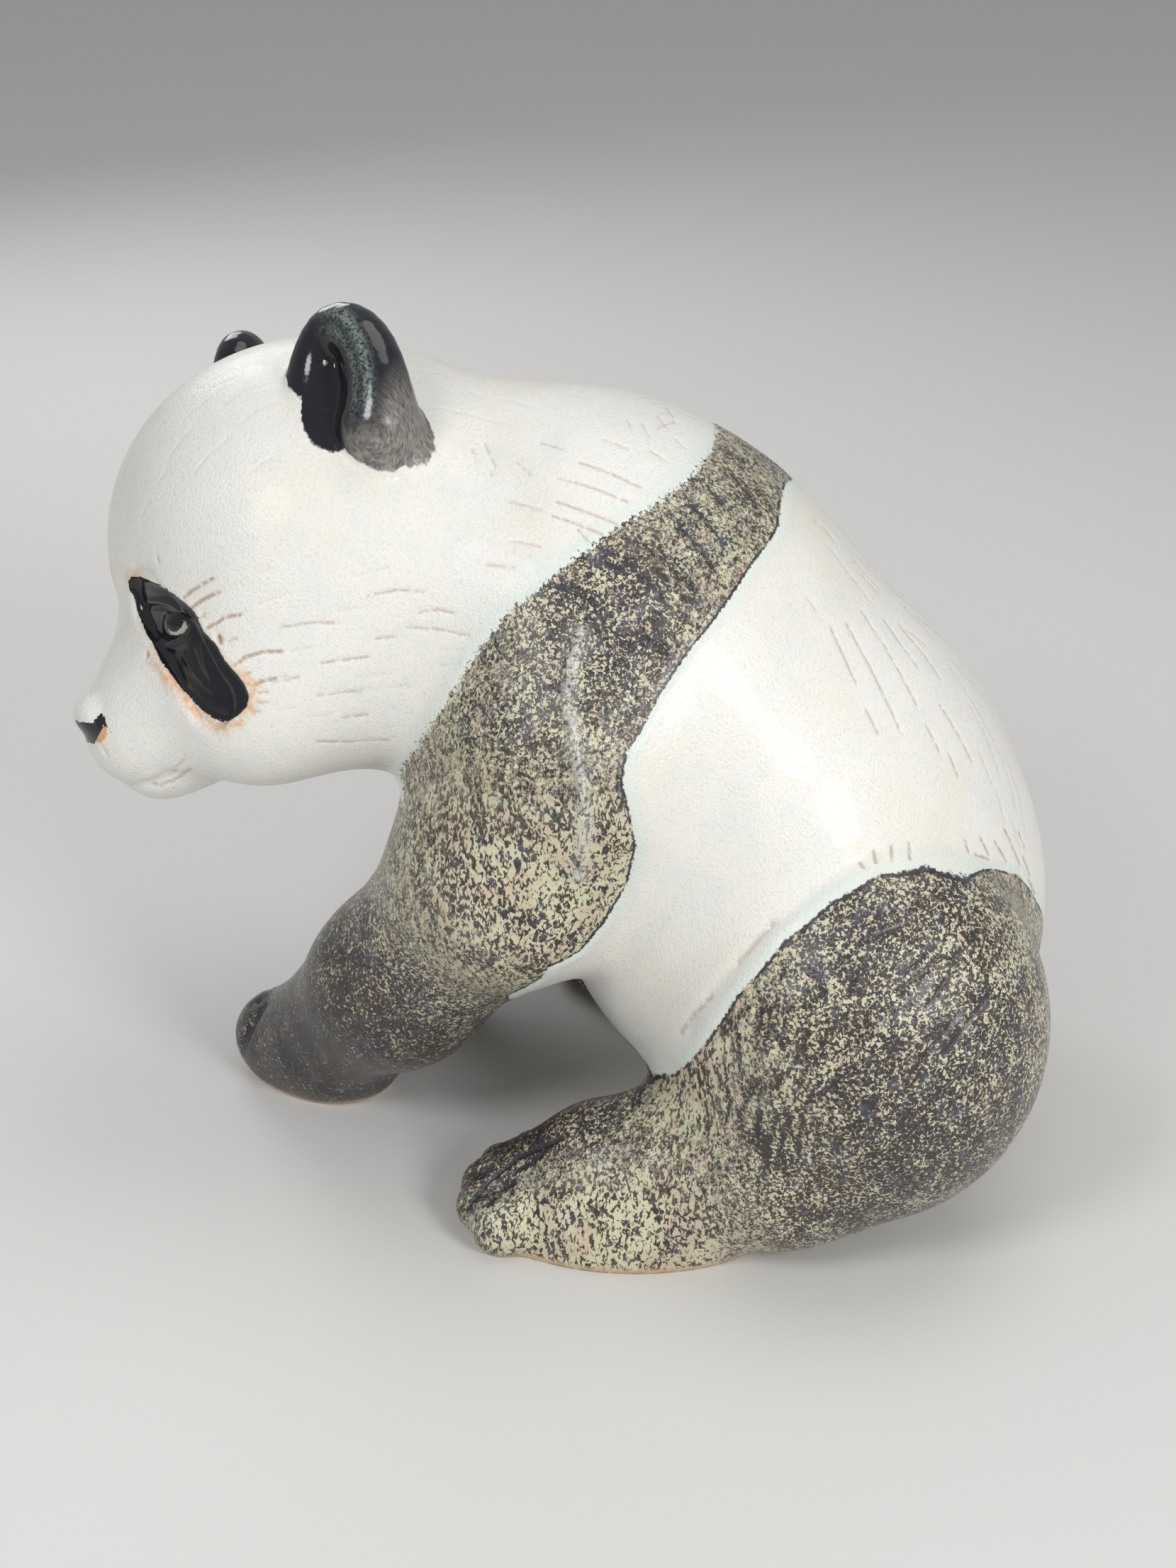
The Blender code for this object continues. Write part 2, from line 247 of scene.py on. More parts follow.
@dataclass(frozen=True)
class Groove:
    """A tool's line pressed into the clay, or raised where its depth is below zero.

    Args:
        points: The points that it runs through.
        half_width: Half of its width.
        depth: How deep it is at its middle.
        stain: How much colour lies in it, from 0 to 1, or below zero for a painted highlight along it.
    """

    points: Places
    half_width: float
    depth: float
    stain: float = 0

    def profile(self, points: np.ndarray) -> np.ndarray:
        """Return the line's cross-section at each point: 1 at its middle, falling off to 0."""
        line = np.array(self.points, float)
        reach = 3 * self.half_width
        inside = np.all((points > line.min(axis=0) - reach) & (points < line.max(axis=0) + reach), axis=1)
        result = np.zeros(len(points))
        if inside.any():
            result[inside] = np.exp(-((line_distance(points[inside], line) / self.half_width) ** 2))
        return result


def join_lumps(distance: Optional[np.ndarray], points: np.ndarray, lumps: Sequence[Lump]) -> np.ndarray:
    """Join lumps, one after another, to what is already there.

    Args:
        distance: The distance so far, or None for the first lump.
        points: The points at which to work it out.
        lumps: The lumps in order.

    Returns:
        The joined distance at each point.
    """
    for lump in lumps:
        own = lump.distance(points)
        distance = own if distance is None else smooth_union(distance, own, lump.blend)
    return distance


def on_side(point: Point, side: int) -> Point:
    """Return the point itself for the left side, +1, and its mirror image for the right, -1."""
    return (side * point[0], point[1], point[2])


@dataclass
class Trunk:
    """The belly, back, chest and neck."""

    belly: Ball = Ball((0, 37.5, 40), (42, 37, 37), blend=0)
    back: Ball = Ball((0, 27, 60), (40, 37, 37.5), blend=14)
    shoulders: Ball = Ball((0, 3, 82), (36, 31, 33), blend=16)
    hump: Ball = Ball((0, 14, 84), (33, 26, 29), blend=12)
    neck: Limb = Limb((0, -8, 90), (1, -34, 96), 32, 29, 14)

    def lumps(self) -> list[Lump]:
        """Return the lumps in the order in which they are joined."""
        return [self.belly, self.back, self.shoulders, self.hump, self.neck]


@dataclass
class Ear:
    """One ear: a rolled rim bent to a horseshoe, with a thin back. Its places are the head's own.

    Args:
        side: +1 for the left ear, -1 for the right.
    """

    side: int
    middle: Point = (-12.5, 28, 17)
    lean: float = 42
    spread: float = 12
    face: float = 45
    half_width: float = 6
    half_height: float = 10
    inner_rim: float = 2.6
    outer_rim: float = 4.8
    sweep: float = 125
    rim_pieces: int = 20
    back_radii: Point = (2.5, 8, 11)

    def angles(self) -> Point:
        """Return the ear's turn about the head's three directions, in degrees."""
        return (-self.side * self.spread, -self.lean, self.side * self.face)

    def centre(self) -> np.ndarray:
        """Return the middle of the horseshoe."""
        return np.array(self.middle) * (1, self.side, 1)

    def lumps(self) -> list[Lump]:
        """Return the ear's back and the pieces of its rim."""
        turn = turn_matrix(self.angles())
        sweep = np.radians(np.linspace(-self.sweep, self.sweep, self.rim_pieces + 1))
        across = self.side * self.half_width * np.sin(sweep)
        along = self.half_height * np.cos(sweep)
        arch = [self.centre() + turn @ (0, one, two) for one, two in zip(across, along)]
        radii = np.linspace(self.inner_rim, self.outer_rim, len(arch))
        back = self.centre() - turn @ (self.back_radii[0], 0, 0)
        pieces = zip(arch, arch[1:], radii, radii[1:])
        rim = Rim(tuple(Limb(tuple(start), tuple(end), one, two) for start, end, one, two in pieces))
        return [Ball(tuple(back), self.back_radii, self.angles(), 2), rim]

    def local(self, points: np.ndarray) -> np.ndarray:
        """Turn points of the head into the ear's own forward, outward and upward directions."""
        own = (points - self.centre()) @ turn_matrix(self.angles())
        return own * (1, self.side, 1)


@dataclass
class Head:
    """The head, with its own directions: forward, left and up."""

    middle: Point = (2, -45, 97)
    turn: float = 48
    bow: float = 31
    tilt: float = 23
    skull: Ball = Ball((0, 0, 0), (30, 33, 30), blend=0)
    cheek: Ball = Ball((16, 14, -9.5), (22, 18, 16.6), blend=10)
    muzzle: Ball = Ball((32.8, 0, -4), (14.6, 13, 11.3), blend=8)
    chin: Ball = Ball((34, 0, -11), (11, 8, 5.6), blend=4)
    nose: Ball = Ball((42.6, 0, 3), (3, 4.4, 3), blend=1.5)
    eye_middle: Point = (25.6, 14.2, 6.6)
    eye_radii: Point = (2.6, 3.4, 2.4)
    eye_turn: float = 25
    hollow: Places = ((26.3, 9.3, 12), (27.2, 16.5, 4.5), (30.2, 21.5, -3.8))
    hollow_half_width: float = 5.6
    hollow_depth: float = 1.3
    hollow_edge: float = 1.8
    nose_crease: Groove = Groove(((48, 0, 0), (48.5, 0, -7.5)), 0.8, 0.9)
    mouth: Groove = Groove(((48, 0, -8), (46, 4, -9.2), (42.7, 7.4, -9.8), (38.5, 10.4, -9.2)), 0.8, 0.8)
    ears: tuple[Ear, Ear] = field(default_factory=lambda: (Ear(1), Ear(-1)))

    def axes(self) -> np.ndarray:
        """Return the head's forward, left and up directions as the columns of an array."""
        forward_left_up = np.array([[0, 1, 0], [-1, 0, 0], [0, 0, 1]], float)
        turns = ((0, 0, self.turn), (self.bow, 0, 0), (0, -self.tilt, 0))
        axes = forward_left_up
        for turn in reversed(turns):
            axes = turn_matrix(turn) @ axes
        return axes

    def own(self, points: np.ndarray) -> np.ndarray:
        """Return points of the figurine in the head's own directions."""
        return (points - np.array(self.middle)) @ self.axes()

    def back(self, points: np.ndarray) -> np.ndarray:
        """Return points in the head's own directions as points of the figurine."""
        return points @ self.axes().T + np.array(self.middle)

    def mirrored(self, points: np.ndarray) -> np.ndarray:
        """Return points of the figurine, moved to the other side of the face."""
        return self.back(self.own(points) * (1, -1, 1))

    def skull_lumps(self) -> list[Lump]:
        """Return the lumps of the head without its ears."""
        forward, left, up = self.cheek.centre
        other = replace(self.cheek, centre=(forward, -left, up))
        return [self.skull, self.cheek, other, self.muzzle, self.chin, self.nose]

    def grooves(self) -> list[Groove]:
        """Return the crease under the nose and both halves of the mouth."""
        other = replace(self.mouth, points=tuple((f, -l, u) for f, l, u in self.mouth.points))
        return [self.nose_crease, self.mouth, other]

    def eye(self, side: int) -> Ball:
        """Return one eye's ball."""
        forward, left, up = self.eye_middle
        return Ball((forward, side * left, up), self.eye_radii, (0, 0, side * self.eye_turn), 1)

    def bare_distance(self, points: np.ndarray) -> np.ndarray:
        """Return how far points lie outside the head without its ears, in the head's directions."""
        distance = join_lumps(None, points, self.skull_lumps())
        for groove in self.grooves():
            distance = distance + groove.depth * groove.profile(points)
        for side in (1, -1):
            line = np.array(self.hollow) * (1, side, 1)
            inside = self.hollow_half_width - line_distance(points, line)
            distance = distance + self.hollow_depth * smooth_step(inside, 0, self.hollow_edge)
            distance = join_lumps(distance, points, [self.eye(side)])
        return distance

    def distance(self, points: np.ndarray, with_ears: bool = True) -> np.ndarray:
        """Return how far points lie outside the head, in the head's directions."""
        distance = self.bare_distance(points)
        for ear in self.ears if with_ears else ():
            distance = join_lumps(distance, points, ear.lumps())
        return distance


@dataclass
class Foreleg:
    """One foreleg and its paw.

    Args:
        upper: The upper arm.
        middle: The elbow and forearm.
        wrist: The wrist.
        paw: The paw.
    """

    upper: Limb
    middle: Limb
    wrist: Limb
    paw: Ball
    crease_turns: Point = (-38, -13, 13, 38)
    crease_reach: Point = (15, 9)
    crease_heights: Point = (3, 15)
    crease_half_width: float = 0.9
    crease_depth: float = 0.8

    def lumps(self) -> list[Lump]:
        """Return the lumps from the shoulder to the paw."""
        return [self.upper, self.middle, self.wrist, self.paw]

    def creases(self) -> list[Groove]:
        """Return the creases between the toes on top of the paw."""
        creases = []
        for crease in self.crease_turns:
            turn = math.radians(crease + self.paw.turn[2])
            line = []
            for reach, height in zip(self.crease_reach, self.crease_heights):
                across = self.paw.centre[0] + reach * math.sin(turn)
                line.append((across, self.paw.centre[1] - reach * math.cos(turn), height))
            creases.append(Groove(tuple(line), self.crease_half_width, self.crease_depth))
        return creases


@dataclass
class HindLeg:
    """One hind leg: haunch, hock, sole and toes.

    Args:
        side: +1 for the left leg, -1 for the right.
        haunch: The ball of the haunch.
    """

    side: int
    haunch: Ball
    foot_middle: float = 39
    hock: Limb = Limb((39, 36, 15), (39, 10, 9), 14, 12, 8)
    sole: Ball = Ball((39, 10, 3), (13.5, 23, 12), blend=5)
    toe_tips: Places = ((48, -5), (44, -9), (38.5, -9.5), (33, -8), (28.5, -4))
    toe_radii: Point = (6, 5.2, 5, 4.8, 4.6)
    toe_taper: float = 1
    toe_root: float = 4
    toe_root_height: float = 5.5
    toe_tip_height: float = 4
    toe_root_share: float = 0.5
    crease_tip: float = 4
    crease_run: float = 3
    crease_heights: Point = (5, 9, 14)
    crease_half_width: float = 0.9
    crease_depth: float = 0.9

    def root_across(self, across: float) -> float:
        """Return where the root of a toe or crease lies across the foot."""
        return self.foot_middle + self.toe_root_share * (across - self.foot_middle)

    def lumps(self) -> list[Lump]:
        """Return the lumps of the leg."""
        start, end = on_side(self.hock.start, self.side), on_side(self.hock.end, self.side)
        sole = replace(self.sole, centre=on_side(self.sole.centre, self.side))
        lumps: list[Lump] = [self.haunch, replace(self.hock, start=start, end=end), sole]
        for (across, along), radius in zip(self.toe_tips, self.toe_radii):
            start = on_side((self.root_across(across), self.toe_root, self.toe_root_height), self.side)
            end = on_side((across, along, self.toe_tip_height), self.side)
            lumps.append(Limb(start, end, radius, radius - self.toe_taper, 1.5))
        return lumps

    def creases(self) -> list[Groove]:
        """Return the creases between the toes."""
        creases = []
        for one, two in zip(self.toe_tips, self.toe_tips[1:]):
            across, along = (one[0] + two[0]) / 2, (one[1] + two[1]) / 2
            root = self.root_across(across), self.toe_root + self.crease_run
            places = (across, along - self.crease_tip), (across, along + 1), root
            heights = self.crease_heights
            line = [on_side((*place, height), self.side) for place, height in zip(places, heights)]
            creases.append(Groove(tuple(line), self.crease_half_width, self.crease_depth))
        return creases


@dataclass
class PandaForm:
    """The whole figurine's form, before the fine marks."""

    trunk: Trunk = field(default_factory=Trunk)
    head: Head = field(default_factory=Head)
    neck_blend: float = 12
    left_foreleg: Foreleg = field(
        default_factory=lambda: Foreleg(
            Limb((28, 2, 76), (27, -7, 56), 19, 17, 8),
            Limb((27, -7, 56), (18, -28, 28), 16.5, 13.5, 8),
            Limb((18, -28, 28), (10, -42, 12), 13.5, 11, 6),
            Ball((6, -46, 6), (10.5, 15.5, 10), (0, 0, -15), 5),
        )
    )
    right_foreleg: Foreleg = field(
        default_factory=lambda: Foreleg(
            Limb((-28, 2, 76), (-27, -5, 56), 19, 17, 8),
            Limb((-27, -5, 56), (-23, -23, 28), 16.5, 13.5, 8),
            Limb((-23, -23, 28), (-18, -36, 12), 13.5, 11, 6),
            Ball((-17, -40, 6), (10.5, 15, 10), (0, 0, 8), 5),
        )
    )
    left_hind_leg: HindLeg = field(
        default_factory=lambda: HindLeg(1, Ball((29, 46.5, 35), (26.5, 29.5, 32.5), blend=4))
    )
    right_hind_leg: HindLeg = field(
        default_factory=lambda: HindLeg(-1, Ball((-29, 43.5, 32.5), (26.5, 29, 31), blend=4))
    )

    def distance(self, points: np.ndarray, with_ears: bool = True) -> np.ndarray:
        """Return how far each point lies outside the form."""
        legs = self.left_hind_leg.lumps() + self.right_hind_leg.lumps()
        body = join_lumps(None, points, self.trunk.lumps() + legs)
        body = smooth_union(body, self.head.distance(self.head.own(points), with_ears), self.neck_blend)
        body = join_lumps(body, points, self.left_foreleg.lumps() + self.right_foreleg.lumps())
        for crease in self.creases():
            body = body + crease.depth * crease.profile(points)
        return body

    def creases(self) -> list[Groove]:
        """Return the creases of all four feet."""
        limbs = (self.left_hind_leg, self.right_hind_leg, self.left_foreleg, self.right_foreleg)
        return [crease for limb in limbs for crease in limb.creases()]

    def uphill(self, points: np.ndarray, distance: np.ndarray, step: float = 0.05) -> np.ndarray:
        """Find the direction in which the distance grows.

        Args:
            points: The points, one a row.
            distance: Their distances.
            step: How far to look along each axis.

        Returns:
            A unit vector for each point.
        """
        slopes = np.stack([self.distance(points + shift) - distance for shift in np.eye(3) * step], axis=1)
        return slopes / np.maximum(np.linalg.norm(slopes, axis=1, keepdims=True), 1e-9)

    def raw_clay(self) -> bpy.types.Mesh:
        """Return all lumps as one mesh of overlapping bodies."""
        clay = bmesh.new()
        head_place = Matrix.Translation(self.head.middle) @ Matrix(self.head.axes().tolist()).to_4x4()
        body = self.trunk.lumps() + self.left_foreleg.lumps() + self.right_foreleg.lumps()
        body += self.left_hind_leg.lumps() + self.right_hind_leg.lumps()
        head = self.head.skull_lumps() + [lump for ear in self.head.ears for lump in ear.lumps()]
        for lumps, place in ((body, Matrix.Identity(4)), (head, head_place)):
            for lump in lumps:
                shape = bmesh.new()
                lump.shape(shape)
                shape.transform(place)
                data = bpy.data.meshes.new("lump")
                shape.to_mesh(data)
                shape.free()
                clay.from_mesh(data)
                bpy.data.meshes.remove(data)
        data = bpy.data.meshes.new("clay")
        clay.to_mesh(data)
        clay.free()
        return data


@dataclass(frozen=True)
class PictureView:
    """Where the picture is taken from. Places in the picture are in 1/1500 of its width.

    Args:
        azimuth: The camera's turn about the figurine, in degrees from its front.
        elevation: Its height above the horizon, in degrees.
        distance: Its distance, in parts.
        aim: The point that it looks at, in parts.
        middle: The middle of the picture.
        focal_length: The focal length, in 1/1500 of the picture's width.
        sensor: The camera's sensor, in millimetres.
        near_side: How far the figurine's near side is from the point that the camera looks at.
    """

    azimuth: float = 100
    elevation: float = 27
    distance: float = 400
    aim: Point = (0, 0, 57)
    middle: Point = (750, 1000)
    focal_length: float = 3146.5
    sensor: float = 36
    near_side: float = 40

    def axes(self) -> np.ndarray:
        """Return the picture's right and up, and the way back to the camera, as columns."""
        turn, rise = math.radians(self.azimuth), math.radians(self.elevation)
        back = np.array((math.sin(turn) * math.cos(rise), -math.cos(turn) * math.cos(rise), math.sin(rise)))
        right = np.cross((0, 0, 1), back)
        right /= np.linalg.norm(right)
        return np.stack([right, np.cross(back, right), back], axis=1)

    def eye(self) -> np.ndarray:
        """Return the camera's place, in parts."""
        return np.array(self.aim) + self.distance * self.axes()[:, 2]

    def ray(self, place: Point) -> np.ndarray:
        """Return the direction in which a place in the picture is seen."""
        local = np.array((place[0] - self.middle[0], self.middle[1] - place[1], -self.focal_length))
        way = self.axes() @ local
        return way / np.linalg.norm(way)

    def project(self, points: np.ndarray) -> np.ndarray:
        """Return the places in the picture at which points are seen."""
        local = (points - self.eye()) @ self.axes()
        scale = self.focal_length / -local[:, 2:]
        return np.array(self.middle) + local[:, :2] * scale * (1, -1)

    def build(self) -> bpy.types.Object:
        """Make the camera.

        Returns:
            The camera, which the scene then uses.
        """
        data = bpy.data.cameras.new("picture camera")
        data.sensor_width = self.sensor
        data.lens = self.sensor * self.focal_length / (2 * self.middle[1])
        data.clip_start = 0.01
        camera = bpy.data.objects.new("picture_camera", data)
        place = Matrix.Translation(Vector(self.eye()) * PART)
        camera.matrix_world = place @ Matrix(self.axes().tolist()).to_4x4()
        bpy.context.scene.collection.objects.link(camera)
        bpy.context.scene.camera = camera
        return camera


@dataclass
class ClaySurface:
    """The unmarked figurine, on which lines that are drawn in the picture are laid.

    Args:
        data: Its mesh, in parts.
        view: Where the picture is taken from.
    """

    data: bpy.types.Mesh
    view: PictureView

    def __post_init__(self) -> None:
        """Prepare the mesh for rays."""
        places = [vertex.co for vertex in self.data.vertices]
        self.tree = BVHTree.FromPolygons(places, [face.vertices for face in self.data.polygons])

    def under(self, line: Places) -> np.ndarray:
        """Lay a line of the picture on the surface.

        Args:
            line: The line's places in the picture.

        Returns:
            Points on the surface. A place beside the figurine gives the nearest point of it.
        """
        eye = Vector(self.view.eye())
        points = []
        for place in line:
            way = Vector(self.view.ray(place))
            hit = self.tree.ray_cast(eye, way)[0]
            if hit is None:
                near = self.tree.find_nearest(eye + way * (self.view.distance - self.view.near_side))[0]
                hit = self.tree.find_nearest(eye + way * (near - eye).dot(way))[0]
            points.append(tuple(hit))
        return np.array(points)

    def nearest(self, points: np.ndarray) -> np.ndarray:
        """Return the points of the surface that lie nearest to the given ones."""
        return np.array([tuple(self.tree.find_nearest(Vector(point))[0]) for point in points])


class Ground(Enum):
    """What a tool mark crosses, and so what lies in it."""

    WHITE = "brown slip in a white glaze"
    SPECKLED = "dark glaze pooled in a fleck glaze"
    BLACK = "no stain, in black glaze"


@dataclass(frozen=True)
class ToolMark:
    """A tool mark as it is seen in the picture.

    Args:
        line: The places that it runs through.
        ground: The glaze that it crosses.
        half_width: Half of its width, in parts.
        depth: How deep it is, or below zero for a raised line.
        stain: How much colour lies in it, from 0 to 1, or below zero for a painted highlight along it.
    """

    line: Places
    ground: Ground = Ground.WHITE
    half_width: float = 0.42
    depth: float = 0.28
    stain: float = 0.75


def fur(stain: float, *lines: Places) -> list[ToolMark]:
    """Return fur strokes in the white glaze that share one strength of brown."""
    return [ToolMark(line, Ground.WHITE, 0.24 + 0.1 * stain, 0.06 + 0.12 * stain, stain) for line in lines]


def pools(half_width: float, *lines: Places) -> list[ToolMark]:
    """Return carved lines in which the charcoal glaze pools."""
    return [ToolMark(line, Ground.SPECKLED, half_width, 0.22, 0.4) for line in lines]


@dataclass(frozen=True)
class Drawing:
    """Outlines and tool marks as they are seen in the picture."""

    band_front: Places = (
        (915, 555), (880, 610), (840, 640), (795, 668), (750, 700), (700, 740), (650, 780), (610, 830),
        (580, 880), (540, 940), (510, 985), (515, 1030),
    )
    band_rear: Places = (
        (1000, 625), (995, 670), (960, 720), (920, 780), (880, 830), (840, 890), (820, 930), (800, 960),
        (795, 1000), (805, 1040), (812, 1080), (800, 1130), (770, 1180), (740, 1215), (700, 1235),
    )
    thigh_edge: Places = (
        (1240, 1103), (1180, 1103), (1120, 1115), (1060, 1150), (1000, 1200), (940, 1270), (900, 1330),
        (860, 1370), (812, 1395),
    )
    eye_patch: Places = (
        (168, 735), (183, 737), (203, 746), (220, 756), (237, 769), (249, 781), (254, 790), (260, 805),
        (276, 822), (287, 842), (303, 860), (313, 874), (318, 888), (315, 901), (304, 913), (294, 919),
        (282, 921), (271, 916), (254, 903), (237, 884), (220, 862), (206, 844), (196, 823), (186, 806),
        (176, 781), (171, 761), (165, 751), (164, 742),
    )
    eye_glint: Places = (
        (236, 792), (237, 801), (233, 808), (225, 812), (217, 811), (212, 803), (219, 807), (226, 806),
        (231, 801), (233, 795),
    )
    nose_patch: Places = (
        (97, 919), (105, 922), (113, 921), (117, 923), (121, 918), (125, 914), (130, 910), (136, 918),
        (135, 926), (131, 931), (126, 945), (119, 949), (108, 944), (98, 932),
    )
    nose_clay: Places = ((136, 926), (137, 935), (134, 943), (126, 948), (122, 946), (127, 936), (132, 928))


def white_marks() -> list[ToolMark]:
    """Return the brown fur strokes in the white glaze, from the face to the rump."""
    face = fur(
        0.9,
        ((235, 762), (244, 754), (257, 746), (271, 738)), ((245, 775), (254, 768), (264, 762), (279, 755)),
        ((265, 801), (276, 795), (287, 787), (306, 784)), ((300, 848), (314, 838), (335, 832), (359, 831)),
        ((323, 875), (338, 868), (365, 863)),
    )
    face += fur(
        0.6,
        ((291, 820), (296, 816), (303, 814)), ((311, 862), (319, 858)), ((331, 884), (341, 883)),
        ((330, 896), (341, 896)), ((321, 911), (331, 908)), ((257, 788), (262, 783)),
        ((201, 711), (203, 718)), ((235, 985), (225, 996), (205, 1004)),
    )
    cheek = fur(
        0.6,
        ((410, 846), (440, 842), (470, 838)), ((405, 887), (450, 882), (520, 875)),
        ((440, 916), (470, 912)), ((520, 800), (560, 803), (597, 811)),
        ((535, 782), (558, 777), (577, 782)), ((405, 946), (450, 947), (495, 945)),
        ((360, 800), (400, 794), (430, 795)), ((350, 870), (380, 864)),
        ((470, 760), (510, 752), (540, 756)), ((480, 815), (505, 812)),
    )
    cheek += fur(
        0.3,
        ((300, 745), (345, 725)), ((330, 770), (372, 757)), ((372, 830), (398, 826)),
        ((430, 780), (470, 772)), ((395, 915), (425, 912)), ((500, 905), (545, 898)),
        ((560, 850), (588, 846)), ((455, 865), (500, 858)), ((355, 905), (380, 902)),
        ((450, 735), (495, 724)), ((560, 830), (590, 829)),
    )
    crown = fur(
        0.28,
        ((262, 482), (300, 462), (352, 452)), ((250, 498), (290, 474), (340, 464)),
        ((240, 520), (268, 497), (300, 482)), ((225, 548), (247, 524), (262, 512)),
        ((215, 585), (232, 560), (246, 545)), ((250, 600), (268, 578), (290, 560)),
        ((300, 545), (328, 524), (352, 512)), ((282, 520), (310, 500), (345, 490)),
        ((200, 620), (214, 596)), ((520, 470), (560, 476), (600, 486)),
        ((560, 520), (600, 528), (640, 540)), ((600, 500), (650, 510), (690, 522)),
        ((320, 600), (345, 585)), ((180, 660), (190, 640)),
    )
    neck = fur(
        0.62,
        ((710, 640), (750, 654), (790, 670)), ((712, 610), (755, 622), (800, 640)),
        ((740, 590), (780, 604), (818, 622)), ((705, 658), (735, 668), (768, 682)),
        ((738, 676), (750, 690)),
    )
    neck += fur(
        0.5,
        ((820, 540), (828, 556)), ((838, 530), (850, 545)), ((850, 520), (862, 538)),
        ((800, 535), (806, 548)), ((862, 560), (875, 572)), ((830, 575), (850, 588)),
        ((618, 565), (632, 596), (626, 606)), ((602, 572), (606, 590)), ((660, 590), (676, 606)),
        ((690, 565), (720, 574)), ((650, 640), (690, 650)), ((770, 560), (800, 572)),
        ((650, 690), (690, 697)), ((620, 720), (655, 724)),
    )
    back = fur(
        0.6,
        ((1080, 795), (1110, 850), (1134, 900), (1150, 935)),
        ((1100, 780), (1128, 822), (1152, 865), (1170, 900)), ((1060, 800), (1078, 840), (1092, 870)),
        ((1128, 790), (1150, 822), (1172, 852)), ((1200, 900), (1222, 936), (1240, 972)),
        ((1150, 800), (1180, 836), (1200, 866)), ((1182, 925), (1200, 962)), ((1210, 960), (1222, 990)),
        ((1105, 905), (1120, 935)),
    )
    back += fur(
        0.45,
        ((1060, 700), (1090, 740), (1112, 768)), ((1085, 715), (1120, 756)), ((1150, 770), (1185, 806)),
        ((1212, 850), (1240, 893), (1262, 935)), ((1238, 900), (1262, 948), (1276, 990)),
        ((1262, 930), (1285, 985), (1296, 1030)), ((1280, 960), (1300, 1012), (1308, 1060)),
        ((1250, 960), (1266, 1000)), ((1290, 1040), (1302, 1085)), ((1272, 1010), (1282, 1050)),
        ((1040, 660), (1066, 690)), ((1028, 760), (1050, 792)),
    )
    ticks = fur(
        0.8,
        ((1116, 1085), (1118, 1100)), ((1137, 1078), (1138, 1098)), ((1160, 1076), (1161, 1096)),
        ((1098, 1100), (1102, 1106)), ((1232, 1072), (1236, 1086)), ((1252, 1070), (1262, 1090)),
        ((1270, 1074), (1284, 1098)), ((1292, 1080), (1302, 1104)), ((1306, 1094), (1314, 1116)),
        ((1245, 1090), (1262, 1096)), ((1282, 1058), (1290, 1074)), ((1300, 1062), (1308, 1082)),
        ((1312, 1122), (1320, 1140)),
    )
    fold = ((1120, 1090), (1050, 1128), (985, 1180), (930, 1240), (880, 1310))
    lip = ((186, 996), (195, 993), (206, 990), (217, 985), (225, 978), (233, 971), (236, 964))
    chin = ((196, 1000), (204, 1001), (217, 997), (229, 992), (237, 986), (243, 981))
    others = [
        ToolMark(fold, half_width=1.1, depth=0.4, stain=0.18),
        ToolMark(((985, 1178), (958, 1208), (940, 1228)), half_width=0.6, depth=0.2, stain=0.5),
        ToolMark(((905, 1272), (880, 1300), (868, 1318)), half_width=0.6, depth=0.2, stain=0.55),
        ToolMark(((278, 813), (280, 818)), half_width=0.42, depth=0.9, stain=1),
        ToolMark(((134, 817), (135, 820)), half_width=0.35, depth=0.6, stain=1),
        # The lip line's brown is painted shade in the mouth crease, under the overhanging muzzle.
        ToolMark(lip, half_width=0.3, depth=0.1, stain=0.5),
        ToolMark(chin, half_width=0.5, depth=0.1, stain=0.55),
        ToolMark(((128, 950), (133, 957), (136, 963)), half_width=0.3, depth=0.5, stain=0.3),
    ]
    return face + cheek + crown + neck + back + ticks + others


